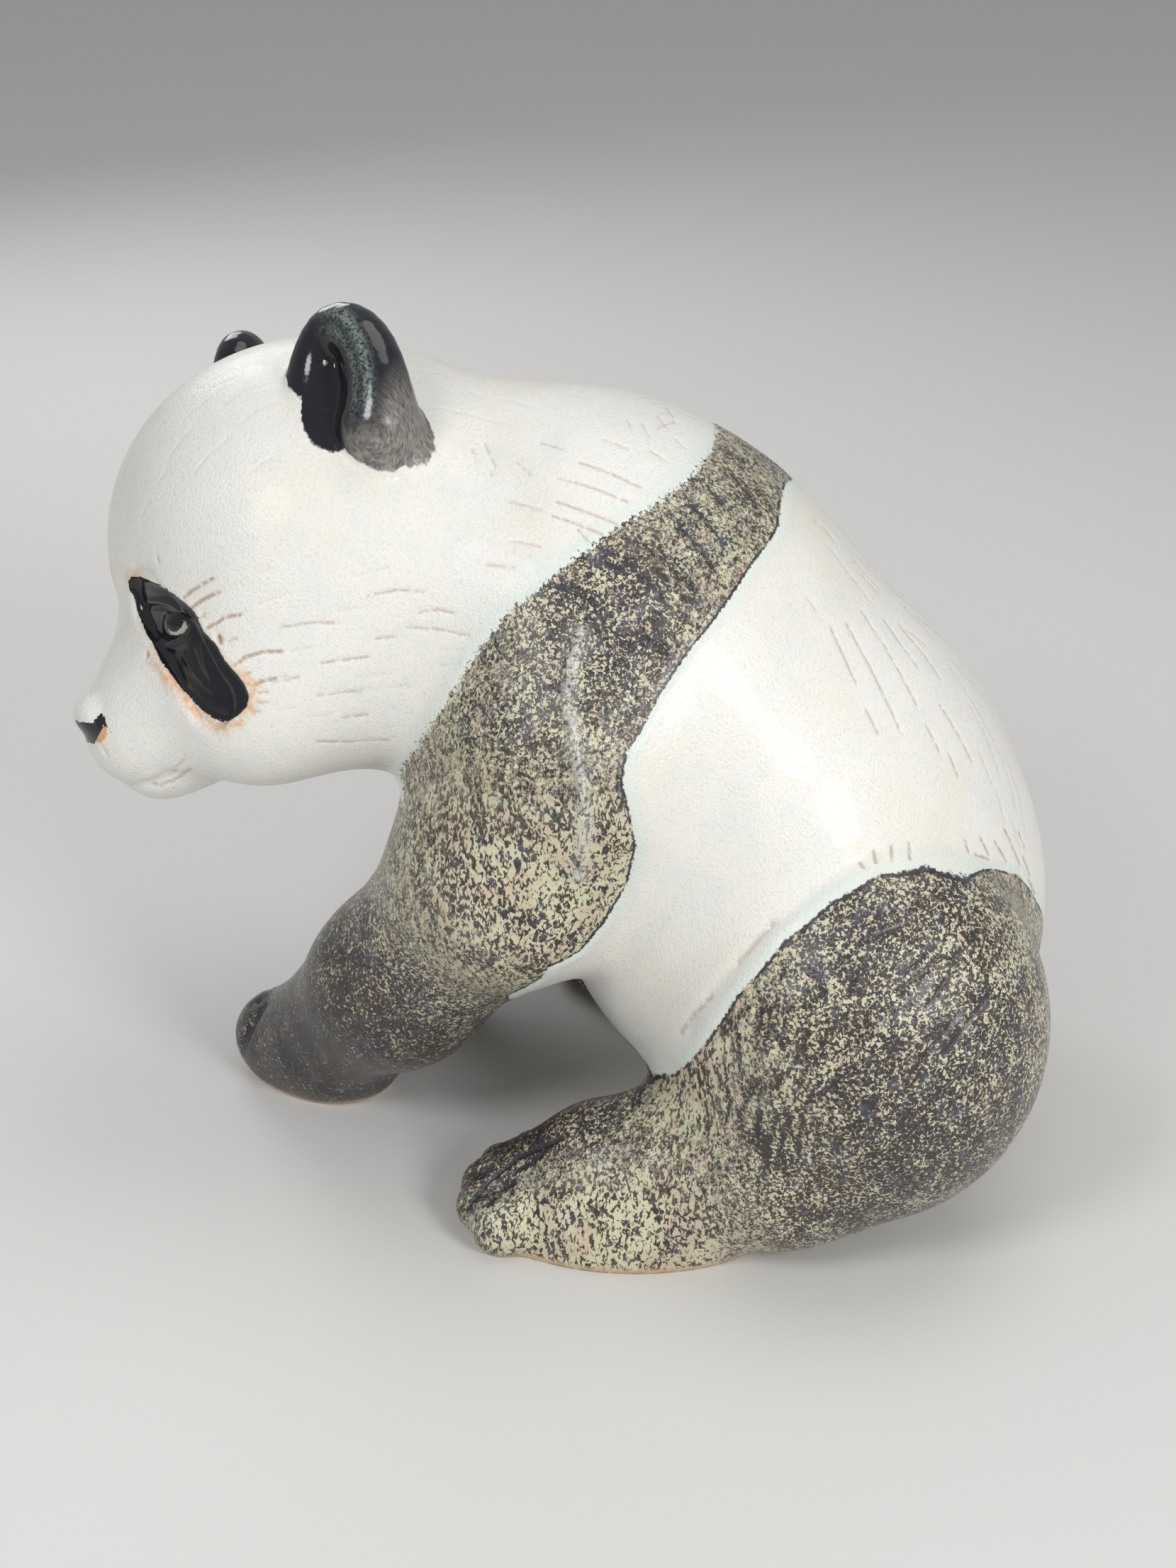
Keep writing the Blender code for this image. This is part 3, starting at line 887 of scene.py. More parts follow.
def speckled_marks() -> list[ToolMark]:
    """Return the fur that is carved into the band, the thigh and the toes."""
    thigh = pools(
        0.42,
        ((1102, 1161), (1087, 1186), (1080, 1205)), ((1155, 1180), (1124, 1192), (1096, 1208)),
        ((1193, 1205), (1168, 1227), (1155, 1236)), ((1203, 1220), (1159, 1255), (1146, 1268)),
        ((1224, 1224), (1200, 1261), (1184, 1283)), ((1049, 1268), (1040, 1286)),
        ((1030, 1315), (1021, 1343), (1005, 1368), (983, 1390)), ((1055, 1315), (1049, 1333)),
        ((961, 1387), (952, 1405), (942, 1427)), ((971, 1418), (964, 1443), (958, 1462)),
        ((1011, 1421), (999, 1449), (990, 1487)), ((930, 1405), (924, 1437)),
        ((1090, 1358), (1062, 1384), (1049, 1393)), ((1043, 1380), (1024, 1421), (1018, 1471)),
        ((989, 1427), (980, 1459), (974, 1500)), ((1246, 1186), (1215, 1224)),
        ((1265, 1262), (1230, 1310), (1205, 1345)), ((1225, 1290), (1190, 1335), (1160, 1370)),
        ((1120, 1400), (1085, 1440), (1060, 1470)),
    )
    upper_arm = (
        (741, 806), (729, 850), (723, 904), (733, 936), (738, 977), (744, 1010), (745, 1049), (743, 1087),
        (739, 1116),
    )
    ridges = [
        ToolMark(((1018, 1277), (980, 1327), (971, 1349)), Ground.SPECKLED, 1.6, -0.4, 0),
        ToolMark(((1137, 1308), (1105, 1349), (1093, 1368)), Ground.SPECKLED, 2.2, -0.4, 0),
        ToolMark(((1075, 1290), (1040, 1345), (1020, 1400)), Ground.SPECKLED, 1.8, -0.3, 0),
        # The upper arm's raised ridge has a stain below zero: a pale painted highlight laid along it.
        ToolMark(upper_arm, Ground.SPECKLED, 1.0, -1.0, -1),
    ]
    band = pools(
        0.6,
        ((765, 700), (790, 708), (815, 726), (835, 748)), ((742, 710), (770, 716), (800, 732)),
        ((835, 708), (860, 728), (885, 752)), ((802, 690), (830, 700), (848, 712)),
        ((830, 722), (862, 748), (892, 776)), ((842, 762), (862, 782), (888, 795)),
        ((868, 675), (895, 700), (910, 725)), ((880, 640), (905, 668), (925, 690)),
        ((800, 800), (830, 822), (850, 832)), ((905, 625), (930, 650)),
        ((930, 600), (955, 630), (970, 655)), ((700, 745), (730, 752), (760, 770)),
    )
    toes = [
        ToolMark(((598, 1541), (622, 1508), (662, 1476), (716, 1452)), Ground.SPECKLED, 0.45, 0.4, 0.9),
        ToolMark(((587, 1494), (614, 1472), (651, 1453), (689, 1440)), Ground.SPECKLED, 0.4, 0.35, 0.9),
        ToolMark(((616, 1466), (641, 1448), (673, 1434)), Ground.SPECKLED, 0.4, 0.3, 0.8),
    ]
    return thigh + ridges + band + toes


def black_marks() -> list[ToolMark]:
    """Return the lids of the eye and the folds in the patch round it."""
    def line(half_width: float, depth: float, *places: Point) -> ToolMark:
        """Return one line in the black glaze."""
        return ToolMark(places, Ground.BLACK, half_width, depth, 0)

    return [
        line(0.3, 0.45, (184, 773), (203, 774), (217, 778), (230, 784), (237, 790)),
        line(0.5, -0.35, (188, 768), (205, 769), (220, 773), (234, 780)),
        line(0.28, 0.35, (184, 774), (190, 790), (195, 806), (199, 813)),
        line(0.5, -0.3, (197, 816), (208, 824), (223, 826), (236, 820), (242, 806)),
        line(0.35, 0.3, (199, 812), (209, 819), (222, 818), (233, 811), (238, 800)),
        line(0.55, -0.14, (257, 827), (260, 845), (269, 867)),
        line(0.55, -0.14, (264, 822), (274, 840), (284, 862)),
        line(0.6, -0.14, (233, 837), (245, 857), (257, 869), (269, 879)),
        line(0.4, 0.12, (246, 832), (252, 852), (264, 872)),
    ]


def as_grooves(marks: Sequence[ToolMark], surface: ClaySurface, head: Head) -> dict[Ground, list[Groove]]:
    """Lay the picture's tool marks on both sides of the figurine.

    Args:
        marks: The marks as drawn in the picture.
        surface: The unmarked figurine.
        head: The head, whose marks are mirrored in its own directions.

    Returns:
        The grooves of each ground.
    """
    grooves: dict[Ground, list[Groove]] = {ground: [] for ground in Ground}
    for mark in marks:
        points = surface.under(mark.line)
        on_head = np.linalg.norm(points.mean(axis=0) - np.array(head.middle)) < 40
        mirrored = surface.nearest(head.mirrored(points) if on_head else points * MIRROR)
        for line in (points, mirrored):
            corners = tuple(tuple(point) for point in line)
            grooves[mark.ground].append(Groove(corners, mark.half_width, mark.depth, mark.stain))
    return grooves


@dataclass
class Glazing:
    """Where each glaze lies on the figurine, worked out from the outlines in the picture.

    Args:
        surface: The unmarked figurine.
        form: The figurine's form.
        drawing: The outlines.
    """

    surface: ClaySurface
    form: PandaForm
    drawing: Drawing
    band_top: Places = ((34, 116), (20, 128))
    band_foot: Places = (
        (-30, 64), (-45, 52), (-80, 40), (-80, -10), (-4, -10), (-8, 20), (-8, 30), (-6, 38), (0, 44),
    )
    thigh_far: Places = ((95, 66), (95, -10), (-30, -10), (-30, 45))
    belly_gap: float = 14
    rump_heights: Point = (25, 40, 47, 55, 63)
    rump_gaps: Point = (-6, 3, 9, 15, 27)
    cream_spots: tuple[tuple[Point, float, float], ...] = (
        ((38, 2, 64), 17, 0.15),
        ((42, 12, 64), 8, 0.12),
        ((27, 27, 102), 8, 0.04),
        ((30, 8, 98), 11, -0.12),
        ((40, 0, 84), 8, -0.10),
        ((36, 16, 82), 7, -0.08),
        ((44, 20, 36), 13, 0.16),
        ((52, 6, 3), 13, 0.2),
        ((50, 24, 6), 10, 0.14),
        ((22, -20, 36), 12, -0.10),
        ((26, -28, 30), 15, -0.28),
        ((18, -34, 20), 14, -0.30),
        ((8, -46, 8), 20, -0.45),
        ((50, 58, 24), 24, -0.16),
        ((40, 50, 58), 14, -0.10),
        ((34, 6, 16), 11, -0.28),
        ((34, -6, 9), 10, -0.22),
    )
    cream_level: float = 0.40
    beside: float = 3
    ear_reach: float = 22

    def __post_init__(self) -> None:
        """Lay the outlines on the surface."""
        head = self.form.head
        front = self.surface.under(self.drawing.band_front)[:, 1:]
        rear = self.surface.under(self.drawing.band_rear)[:, 1:]
        self.band = np.vstack([front, self.band_foot, rear[::-1], self.band_top])
        thigh = self.surface.under(self.drawing.thigh_edge)[:, 1:]
        self.thigh = np.vstack([thigh, np.array(self.thigh_far)[::-1]])
        self.faces = {
            name: head.own(self.surface.under(getattr(self.drawing, name)))
            for name in ("eye_patch", "eye_glint", "nose_patch", "nose_clay")
        }

    def charcoal(self, points: np.ndarray) -> np.ndarray:
        """Return how deep points lie inside the speckled charcoal glaze of legs and band."""
        side = points[:, 1:]
        rump = np.interp(points[:, 2], self.rump_heights, self.rump_gaps)
        gap = self.belly_gap + (rump - self.belly_gap) * smooth_step(points[:, 1], 35, 60)
        thigh = smooth_union(depth_inside(side, self.thigh), 0.8 * (np.abs(points[:, 0]) - gap), 5)
        return np.maximum(depth_inside(side, self.band), thigh)

    def front_edge(self, points: np.ndarray) -> np.ndarray:
        """Return how near points lie to the front edge of the band, from 0 to 1."""
        front = self.band[: len(self.drawing.band_front)]
        return 1 - smooth_step(line_distance(points[:, 1:], front), 1, 4)

    def face_area(self, own: np.ndarray, name: str) -> np.ndarray:
        """Find how deep points lie inside an outline that is on both sides of the face.

        Args:
            own: The points in the head's own directions.
            name: The outline's name.

        Returns:
            The depth inside the outline, far below zero behind the face.
        """
        outline = self.faces[name]
        closed = np.vstack([outline, outline[:1]])
        result = np.full(len(own), FAR_OUTSIDE)
        drawn = np.array(getattr(self.drawing, name), float)
        middle = outline.mean(axis=0)
        reach = np.linalg.norm(outline - middle, axis=1).max() + self.beside
        for side in (1, -1):
            placed = own * (1, side, 1)
            near = np.linalg.norm(placed - middle, axis=1) < reach
            seen = self.surface.view.project(self.form.head.back(placed[near]))
            inside = depth_inside(seen, drawn) > 0
            distance = line_distance(placed[near], closed)
            result[near] = np.maximum(result[near], np.where(inside, distance, -distance))
        return result

    def ear_height(self, points: np.ndarray) -> np.ndarray:
        """Return how far points stand out from the bare head, where an ear is."""
        result = np.full(len(points), FAR_OUTSIDE)
        own = self.form.head.own(points)
        for ear in self.form.head.ears:
            near = np.linalg.norm(own - ear.centre(), axis=1) < self.ear_reach
            height = self.form.distance(points[near], with_ears=False)
            local = ear.local(own[near])
            hollow = 4.6 - np.hypot(local[:, 1] + 0.6, (local[:, 2] + 1.5) * 0.6)
            hollow = np.where(local[:, 0] > -3, hollow, -9)
            result[near] = np.maximum(height - 0.9, hollow)
        return result

    def ear_highlight_and_skirt(self, points: np.ndarray) -> tuple[np.ndarray, np.ndarray]:
        """Find the painted highlight along the front of the ears' rims, and the thin glaze round their feet.

        Args:
            points: The points to judge.

        Returns:
            How much painted highlight there is at each point, and how much thin glaze.
        """
        own = self.form.head.own(points)
        rim_highlight, skirt = np.zeros(len(points)), np.zeros(len(points))
        for ear in self.form.head.ears:
            local = ear.local(own)
            near = np.linalg.norm(local, axis=1) < self.ear_reach + 2
            across = 6 * np.hypot(local[:, 1] / ear.half_width, local[:, 2] / ear.half_height)
            # Painted highlight: two streaks round the rim, on its front face only.
            line = hill(across, 7.4, 0.8) + 0.6 * hill(across, 5.4, 0.7)
            front = smooth_step(local[:, 0], 1, 4) * smooth_step(local[:, 1], -2, 3)
            front = front * smooth_step(local[:, 2], -9, -3)
            rim_highlight = np.where(near, line * front, rim_highlight)
            low = smooth_step(-local[:, 2], 5.5, 10.5) * smooth_step(local[:, 1], 0, 2)
            outer = smooth_step(local[:, 1] - 0.45 * local[:, 2], 9, 13.5)
            skirt = np.where(near, np.maximum(low, outer), skirt)
        return rim_highlight, skirt

    def cream(self, points: np.ndarray) -> np.ndarray:
        """Return how much of the charcoal glaze has broken to cream, from 0 to 1."""
        share = np.full(len(points), self.cream_level)
        folded = points * (1, 1, 1)
        folded[:, 0] = np.abs(points[:, 0])
        for centre, radius, amount in self.cream_spots:
            share += amount * np.exp(-(np.sum((folded - centre) ** 2, axis=1) / radius**2))
        return np.clip(share, 0, 1)

    def rust(self, own: np.ndarray) -> np.ndarray:
        """Return how strongly bare clay shows round the eye patches: most at their lower edges."""
        outline = self.faces["eye_patch"]
        middle = outline.mean(axis=0)
        folded = own * (1, 1, 1)
        folded[:, 1] = np.abs(own[:, 1])
        below = (folded - middle) @ np.array((0.3, -0.35, -0.9))
        tip = np.linalg.norm(folded - outline[16], axis=1)
        corner = np.linalg.norm(folded - outline[0], axis=1)
        share = smooth_step(below, -1, 5) + hill(tip, 0, 8) + 0.6 * hill(corner, 0, 3)
        return np.clip(share, 0, 1)


class Detail(Enum):
    """How long the edges of the mesh are, in parts."""

    PLAIN = 1.25
    FINE = 0.62
    FINEST = 0.34


@dataclass
class Figurine:
    """The glazed figurine: its form, its marks and where its glazes lie.

    Args:
        view: Where the picture is taken from.
        form: The form without the fine marks.
        drawing: The outlines of the glazes in the picture.
        first_pulls: How often the vertices are drawn onto the form at first.
        last_pulls: How often they are drawn onto it after refining.
        evening: How far each moves to the middle of its neighbours between pulls, from 0 to 1.
        longest_pull: The furthest that a vertex is drawn at once, in parts.
        refinings: How often long edges are split.
        tolerance: How many times longer than wanted an edge may be.
        patch_depth: How deep the eye patches are sunk.
        seam_depth: How deep the seam along the charcoal glaze is.
        lip_height: How high the white glaze swells beside both.
        fur_depth: How deep the fur relief is.
        floor_snap: How near the floor a vertex is taken to be on it.
    """

    view: PictureView
    form: PandaForm = field(default_factory=PandaForm)
    drawing: Drawing = field(default_factory=Drawing)
    first_pulls: int = 5
    last_pulls: int = 3
    evening: float = 0.5
    longest_pull: float = 2
    refinings: int = 2
    tolerance: float = 1.35
    patch_depth: float = 0.30
    seam_depth: float = 0.16
    lip_height: float = 0.10
    fur_depth: float = 0.34
    floor_snap: float = 0.02

    def build(self) -> bpy.types.Object:
        """Make the figurine's mesh at its real size.

        Returns:
            The finished piece, without its material.
        """
        piece = bpy.data.objects.new("glazed_panda", self.form.raw_clay())
        bpy.context.scene.collection.objects.link(piece)
        remesh = piece.modifiers.new("fuse", "REMESH")
        remesh.mode = "VOXEL"
        remesh.voxel_size = Detail.PLAIN.value
        graph = bpy.context.evaluated_depsgraph_get()
        piece.data = bpy.data.meshes.new_from_object(piece.evaluated_get(graph))
        piece.modifiers.clear()
        self.pull(piece.data, self.first_pulls)
        surface = ClaySurface(piece.data, self.view)
        self.glazing = Glazing(surface, self.form, self.drawing)
        marks = white_marks() + speckled_marks() + black_marks()
        self.marks = as_grooves(marks, surface, self.form.head)
        for _ in range(self.refinings):
            self.refine(piece.data)
        self.pull(piece.data, self.last_pulls)
        self.carve(piece.data)
        self.grind_feet(piece.data)
        piece.data.transform(Matrix.Scale(PART, 4))
        self.centre(piece.data)
        piece.data.shade_smooth()
        return piece

    def pull(self, data: bpy.types.Mesh, pulls: int) -> None:
        """Draw the vertices onto the blended surface, and even them out along it between pulls.

        Args:
            data: The mesh, in parts.
            pulls: How many times to draw them.
        """
        count = len(data.vertices)
        places = read_places(data)
        edges = np.empty(len(data.edges) * 2, int)
        data.edges.foreach_get("vertices", edges)
        edges = edges.reshape(-1, 2)
        ends = np.concatenate([edges, edges[:, ::-1]])
        neighbours = np.bincount(ends[:, 0], minlength=count)
        for pull in range(pulls):
            distance = self.form.distance(places)
            away = self.form.uphill(places, distance)
            places = places - away * np.clip(distance, -self.longest_pull, self.longest_pull)[:, None]
            if pull == pulls - 1:
                break
            sums = [np.bincount(ends[:, 0], places[ends[:, 1], axis], count) for axis in range(3)]
            drift = np.stack(sums, axis=1) / neighbours[:, None] - places
            places = places + self.evening * (drift - away * np.sum(drift * away, axis=1, keepdims=True))
        data.vertices.foreach_set("co", places.ravel())
        data.update()

    def wanted_edge(self, points: np.ndarray) -> np.ndarray:
        """Find how short the mesh's edges should be.

        Args:
            points: The points to judge.

        Returns:
            The longest edge that is fine enough at each point.
        """
        own = self.form.head.own(points)
        wanted = np.full(len(points), Detail.PLAIN.value)
        fine = np.abs(self.glazing.charcoal(points)) < 1.6
        fine |= self.glazing.ear_height(points) > -1.5
        fine |= (own[:, 0] > 34) & (np.abs(own[:, 1]) < 14) & (own[:, 2] < 6)
        finest = self.glazing.face_area(own, "eye_patch") > -1.2
        finest |= self.glazing.face_area(own, "nose_patch") > -1.5
        for groove in (groove for grooves in self.marks.values() for groove in grooves):
            near = groove.profile(points) > 0.02
            finest |= near if groove.half_width < 0.7 else False
            fine |= near
        for crease in self.form.creases():
            fine |= crease.profile(points) > 0.05
        wanted[fine] = Detail.FINE.value
        wanted[finest] = Detail.FINEST.value
        return wanted

    def refine(self, data: bpy.types.Mesh) -> None:
        """Split the edges that are too long for the detail near them.

        Args:
            data: The mesh, in parts.
        """
        mesh = bmesh.new()
        mesh.from_mesh(data)
        bmesh.ops.triangulate(mesh, faces=mesh.faces[:])
        mesh.edges.ensure_lookup_table()
        ends = np.array([(*edge.verts[0].co, *edge.verts[1].co) for edge in mesh.edges])
        lengths = np.linalg.norm(ends[:, :3] - ends[:, 3:], axis=1)
        wanted = self.wanted_edge((ends[:, :3] + ends[:, 3:]) / 2)
        chosen = [mesh.edges[index] for index in np.nonzero(lengths > self.tolerance * wanted)[0]]
        bmesh.ops.subdivide_edges(mesh, edges=chosen, cuts=1)
        bmesh.ops.triangulate(mesh, faces=mesh.faces[:])
        mesh.to_mesh(data)
        mesh.free()
        LOG.info("refined to %d triangles", len(data.polygons))

    def carve(self, data: bpy.types.Mesh) -> None:
        """Press the marks in, and note at each vertex where the glazes lie.

        Args:
            data: The mesh, in parts.
        """
        glazing = self.glazing
        places = read_places(data)
        away = self.form.uphill(places, self.form.distance(places))
        own = self.form.head.own(places)
        areas = {name: glazing.face_area(own, name) for name in glazing.faces}
        charcoal = glazing.charcoal(places)
        rim_highlight, skirt = glazing.ear_highlight_and_skirt(places)
        creases = np.max([crease.profile(places) for crease in self.form.creases()], axis=0)
        depth = self.glaze_steps(areas["eye_patch"], charcoal)
        stains = {}
        for ground, grooves in self.marks.items():
            stain, bare = np.zeros(len(places)), np.zeros(len(places))
            for groove in grooves:
                profile = groove.profile(places)
                depth += groove.depth * profile
                stain = np.maximum(stain, groove.stain * profile)
                # A stain below zero is a painted highlight, kept apart from the slip and the pooled glaze.
                bare = np.maximum(bare, -groove.stain * profile)
            stains[ground] = stain - bare
        depth += self.fur_relief(places, charcoal)
        data.vertices.foreach_set("co", (places - away * depth[:, None]).ravel())
        values = {
            "charcoal": charcoal,
            "patch": areas["eye_patch"],
            "glint": areas["eye_glint"],
            "nose": areas["nose_patch"],
            "nose_clay": areas["nose_clay"],
            "ear": glazing.ear_height(places),
            "rim_highlight": rim_highlight,
            "skirt": skirt,
            "front_edge": glazing.front_edge(places),
            "brown": stains[Ground.WHITE],
            "pool": np.maximum(stains[Ground.SPECKLED], 0.45 * creases),
            # Painted highlight along the upper arm's ridge.
            "ridge": -stains[Ground.SPECKLED],
            "fur": self.thigh_share(places),
            "cream": glazing.cream(places),
            "rust": glazing.rust(own),
        }
        for name, value in values.items():
            attribute = data.attributes.new(name, "FLOAT", "POINT")
            attribute.data.foreach_set("value", value.astype(np.float32))
        data.update()

    def glaze_steps(self, patch: np.ndarray, charcoal: np.ndarray) -> np.ndarray:
        """Work out how the edges of the glazes step and swell.

        Args:
            patch: How deep the vertices lie inside an eye patch.
            charcoal: How deep they lie inside the charcoal glaze.

        Returns:
            How deep the steps press each of them in.
        """
        sunk = self.patch_depth * smooth_step(patch, -0.1, 0.7) - self.lip_height * hill(patch, -0.5, 0.6)
        seam = self.seam_depth * hill(charcoal, 0.15, 0.45) - self.lip_height * hill(charcoal, -0.9, 0.7)
        return sunk + seam

    def thigh_share(self, places: np.ndarray) -> np.ndarray:
        """Return how near places lie to the middle of a thigh, from 0 to 1."""
        away = (np.abs(places * (1, 0, 0)) + places * (0, 1, 1) - (46, 32, 40)) / (18, 16, 18)
        return np.exp(-np.sum(away**2, axis=1))

    def fur_relief(self, places: np.ndarray, charcoal: np.ndarray) -> np.ndarray:
        """Work out the shallow, streaky fur relief of the thigh and the band.

        Args:
            places: The vertices.
            charcoal: How deep they lie inside the charcoal glaze.

        Returns:
            How deep the relief presses each of them in.
        """
        thigh = self.thigh_share(places)
        band = np.exp(-(((places[:, 1] - 14) / 16) ** 2 + ((places[:, 2] - 97) / 13) ** 2))
        strength = np.clip(thigh + band, 0, 1) * smooth_step(charcoal, 0.3, 2)
        down = np.array((0, -0.5, -0.866))
        along = places @ down
        stretched = places - 0.68 * along[:, None] * down
        relief = np.zeros(len(places))
        for index in np.nonzero(strength > 0.03)[0]:
            relief[index] = noise.noise(Vector(stretched[index]) / 1.9)
        return self.fur_depth * strength * relief

    def grind_feet(self, data: bpy.types.Mesh) -> None:
        """Cut the mesh off flat at the floor and close the cuts."""
        mesh = bmesh.new()
        mesh.from_mesh(data)
        everything = mesh.verts[:] + mesh.edges[:] + mesh.faces[:]
        floor = {"plane_co": (0, 0, 0), "plane_no": (0, 0, -1)}
        bmesh.ops.bisect_plane(mesh, geom=everything, dist=self.floor_snap, clear_outer=True, **floor)
        for vertex in mesh.verts:
            if vertex.co.z < self.floor_snap:
                vertex.co.z = 0
        rims = [edge for edge in mesh.edges if edge.is_boundary]
        caps = bmesh.ops.edgenet_fill(mesh, edges=rims)["faces"]
        bmesh.ops.triangulate(mesh, faces=caps)
        bmesh.ops.recalc_face_normals(mesh, faces=mesh.faces[:])
        mesh.to_mesh(data)
        mesh.free()

    def centre(self, data: bpy.types.Mesh) -> None:
        """Move the mesh so that its outline's middle is the CAD solid's."""
        low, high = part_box("panda")
        places = read_places(data)
        own = (places.min(axis=0) + places.max(axis=0)) / 2
        shift = (np.array(low) + np.array(high)) / 2 - own
        data.transform(Matrix.Translation((shift[0], shift[1], 0)))


def read_places(data: bpy.types.Mesh) -> np.ndarray:
    """Return the mesh's vertices, one a row."""
    places = np.empty(len(data.vertices) * 3)
    data.vertices.foreach_get("co", places)
    return places.reshape(-1, 3)


Socket = bpy.types.NodeSocket
Value = Union[Socket, float, Sequence[float]]


class NodeBench:
    """Adds nodes to one node tree and joins them up."""

    def __init__(self, tree: bpy.types.NodeTree) -> None:
        """Take the tree to work on."""
        self.tree = tree

    def put(self, socket: Socket, value: Value) -> None:
        """Join a socket to another, or set its value."""
        if isinstance(value, bpy.types.NodeSocket):
            self.tree.links.new(value, socket)
        else:
            socket.default_value = value

    def node(
        self, kind: str, inputs: Optional[dict[Union[str, int], Value]] = None, **settings: object
    ) -> bpy.types.Node:
        """Add a node.

        Args:
            kind: The node's type name.
            inputs: Values or sockets for its inputs.
            settings: The node's own options.

        Returns:
            The new node.
        """
        node = self.tree.nodes.new(kind)
        for name, setting in settings.items():
            setattr(node, name, setting)
        for name, value in (inputs or {}).items():
            self.put(node.inputs[name], value)
        return node

    def math(self, operation: str, one: Value, two: Value, clamp: bool = False) -> Socket:
        """Return the result of a sum on two numbers."""
        return self.node("ShaderNodeMath", {0: one, 1: two}, operation=operation, use_clamp=clamp).outputs[0]

    def plus(self, one: Value, two: Value) -> Socket:
        """Return two numbers added up."""
        return self.math("ADD", one, two)

    def less(self, one: Value, two: Value) -> Socket:
        """Return a number less another."""
        return self.math("SUBTRACT", one, two)

    def times(self, one: Value, two: Value) -> Socket:
        """Return two numbers multiplied."""
        return self.math("MULTIPLY", one, two)

    def larger(self, one: Value, two: Value) -> Socket:
        """Return the larger of two numbers."""
        return self.math("MAXIMUM", one, two)

    def rise(self, value: Value, low: Value, high: Value) -> Socket:
        """Return a share that rises smoothly from 0 at one value to 1 at another."""
        inputs = {"Value": value, "From Min": low, "From Max": high}
        return self.node("ShaderNodeMapRange", inputs, interpolation_type="SMOOTHSTEP").outputs[0]

    def mix(self, share: Value, one: Value, two: Value) -> Socket:
        """Return a colour between two others."""
        return self.node("ShaderNodeMix", {0: share, 6: one, 7: two}, data_type="RGBA").outputs[2]

    def blend(self, share: Value, one: Value, two: Value) -> Socket:
        """Return a number between two others."""
        return self.node("ShaderNodeMix", {0: share, 2: one, 3: two}, data_type="FLOAT").outputs[0]

    def moved(self, vector: Value, turn: Point = (0, 0, 0), scale: Point = (1, 1, 1)) -> Socket:
        """Return a place, turned and scaled."""
        return self.node("ShaderNodeMapping", {"Vector": vector, "Rotation": turn, "Scale": scale}).outputs[0]

    def cloud(
        self, vector: Value, scale: Value, detail: float = 2, rough: float = 0.5, warp: float = 0
    ) -> Socket:
        """Return a noise texture's value."""
        inputs = {"Vector": vector, "Scale": scale, "Detail": detail, "Roughness": rough, "Distortion": warp}
        return self.node("ShaderNodeTexNoise", inputs, noise_dimensions="3D").outputs["Fac"]

    def noted(self, name: str) -> Socket:
        """Return a value that the mesh holds at its vertices."""
        return self.node("ShaderNodeAttribute", attribute_name=name, attribute_type="GEOMETRY").outputs["Fac"]

    def group(self, tree: bpy.types.NodeTree, **inputs: Value) -> bpy.types.Node:
        """Place a node group."""
        return self.node("ShaderNodeGroup", inputs, node_tree=tree)


def new_group(name: str, inputs: dict[str, str], outputs: dict[str, str]) -> tuple[NodeBench, Socket, Socket]:
    """Start a shader node group.

    Args:
        name: The group's name.
        inputs: Its inputs' names and socket types.
        outputs: Its outputs' names and socket types.

    Returns:
        A bench for the group, and its inputs and outputs.
    """
    tree = bpy.data.node_groups.new(name, "ShaderNodeTree")
    for label, kind in inputs.items():
        tree.interface.new_socket(label, in_out="INPUT", socket_type=kind)
    for label, kind in outputs.items():
        tree.interface.new_socket(label, in_out="OUTPUT", socket_type=kind)
    bench = NodeBench(tree)
    return bench, tree.nodes.new("NodeGroupInput").outputs, tree.nodes.new("NodeGroupOutput").inputs


FLOAT = "NodeSocketFloat"
VECTOR = "NodeSocketVector"


def ragged_edge_group() -> bpy.types.NodeTree:
    """Make the group that turns a distance to an outline into a mask with a ragged edge.

    Returns:
        The group. Its mask is 1 where the distance is above zero.
    """
    inputs = {"Vector": VECTOR, "Distance": FLOAT, "Raggedness": FLOAT, "Scale": FLOAT, "Softness": FLOAT}
    bench, given, result = new_group("ragged edge", inputs, {"Mask": FLOAT})
    wave = bench.cloud(given["Vector"], given["Scale"], 3.0, 0.6)
    distance = bench.plus(given["Distance"], bench.times(bench.less(wave, 0.5), given["Raggedness"]))
    low = bench.times(given["Softness"], -1.0)
    bench.put(result["Mask"], bench.rise(distance, low, given["Softness"]))
    return bench.tree


def broken_glaze_group() -> bpy.types.NodeTree:
    """Make the group that breaks a glaze into flecks.

    Returns:
        The group. Cream is the share of flecks wanted, and its masks are the flecks themselves and
        a cloudier veil round them.
    """
    inputs = {"Vector": VECTOR, "Cream": FLOAT, "Scale": FLOAT}
    bench, given, result = new_group("broken glaze", inputs, {"Flecks": FLOAT, "Veil": FLOAT})
    flecks = bench.cloud(given["Vector"], given["Scale"], 2.0, 0.6, 0.8)
    cloud = bench.cloud(given["Vector"], 0.22, 1.0)
    shifted = bench.plus(given["Cream"], bench.times(bench.less(cloud, 0.5), 0.55))
    level = bench.less(0.66, bench.times(shifted, 0.34))
    bench.put(result["Flecks"], bench.rise(flecks, bench.less(level, 0.012), bench.plus(level, 0.022)))
    bench.put(result["Veil"], bench.rise(flecks, bench.less(level, 0.14), level))
    return bench.tree


def stain_group() -> bpy.types.NodeTree:
    """Make the group that breaks up the slip lying in a tool mark.

    Returns:
        The group. Its mask is the stain's strength.
    """
    inputs = {"Vector": VECTOR, "Strength": FLOAT}
    bench, given, result = new_group("slip in a mark", inputs, {"Mask": FLOAT})
    patchy = bench.rise(bench.cloud(given["Vector"], 0.9, 3.0, 0.6), 0.2, 0.55)
    bench.put(result["Mask"], bench.rise(bench.times(patchy, given["Strength"]), 0.05, 0.85))
    return bench.tree


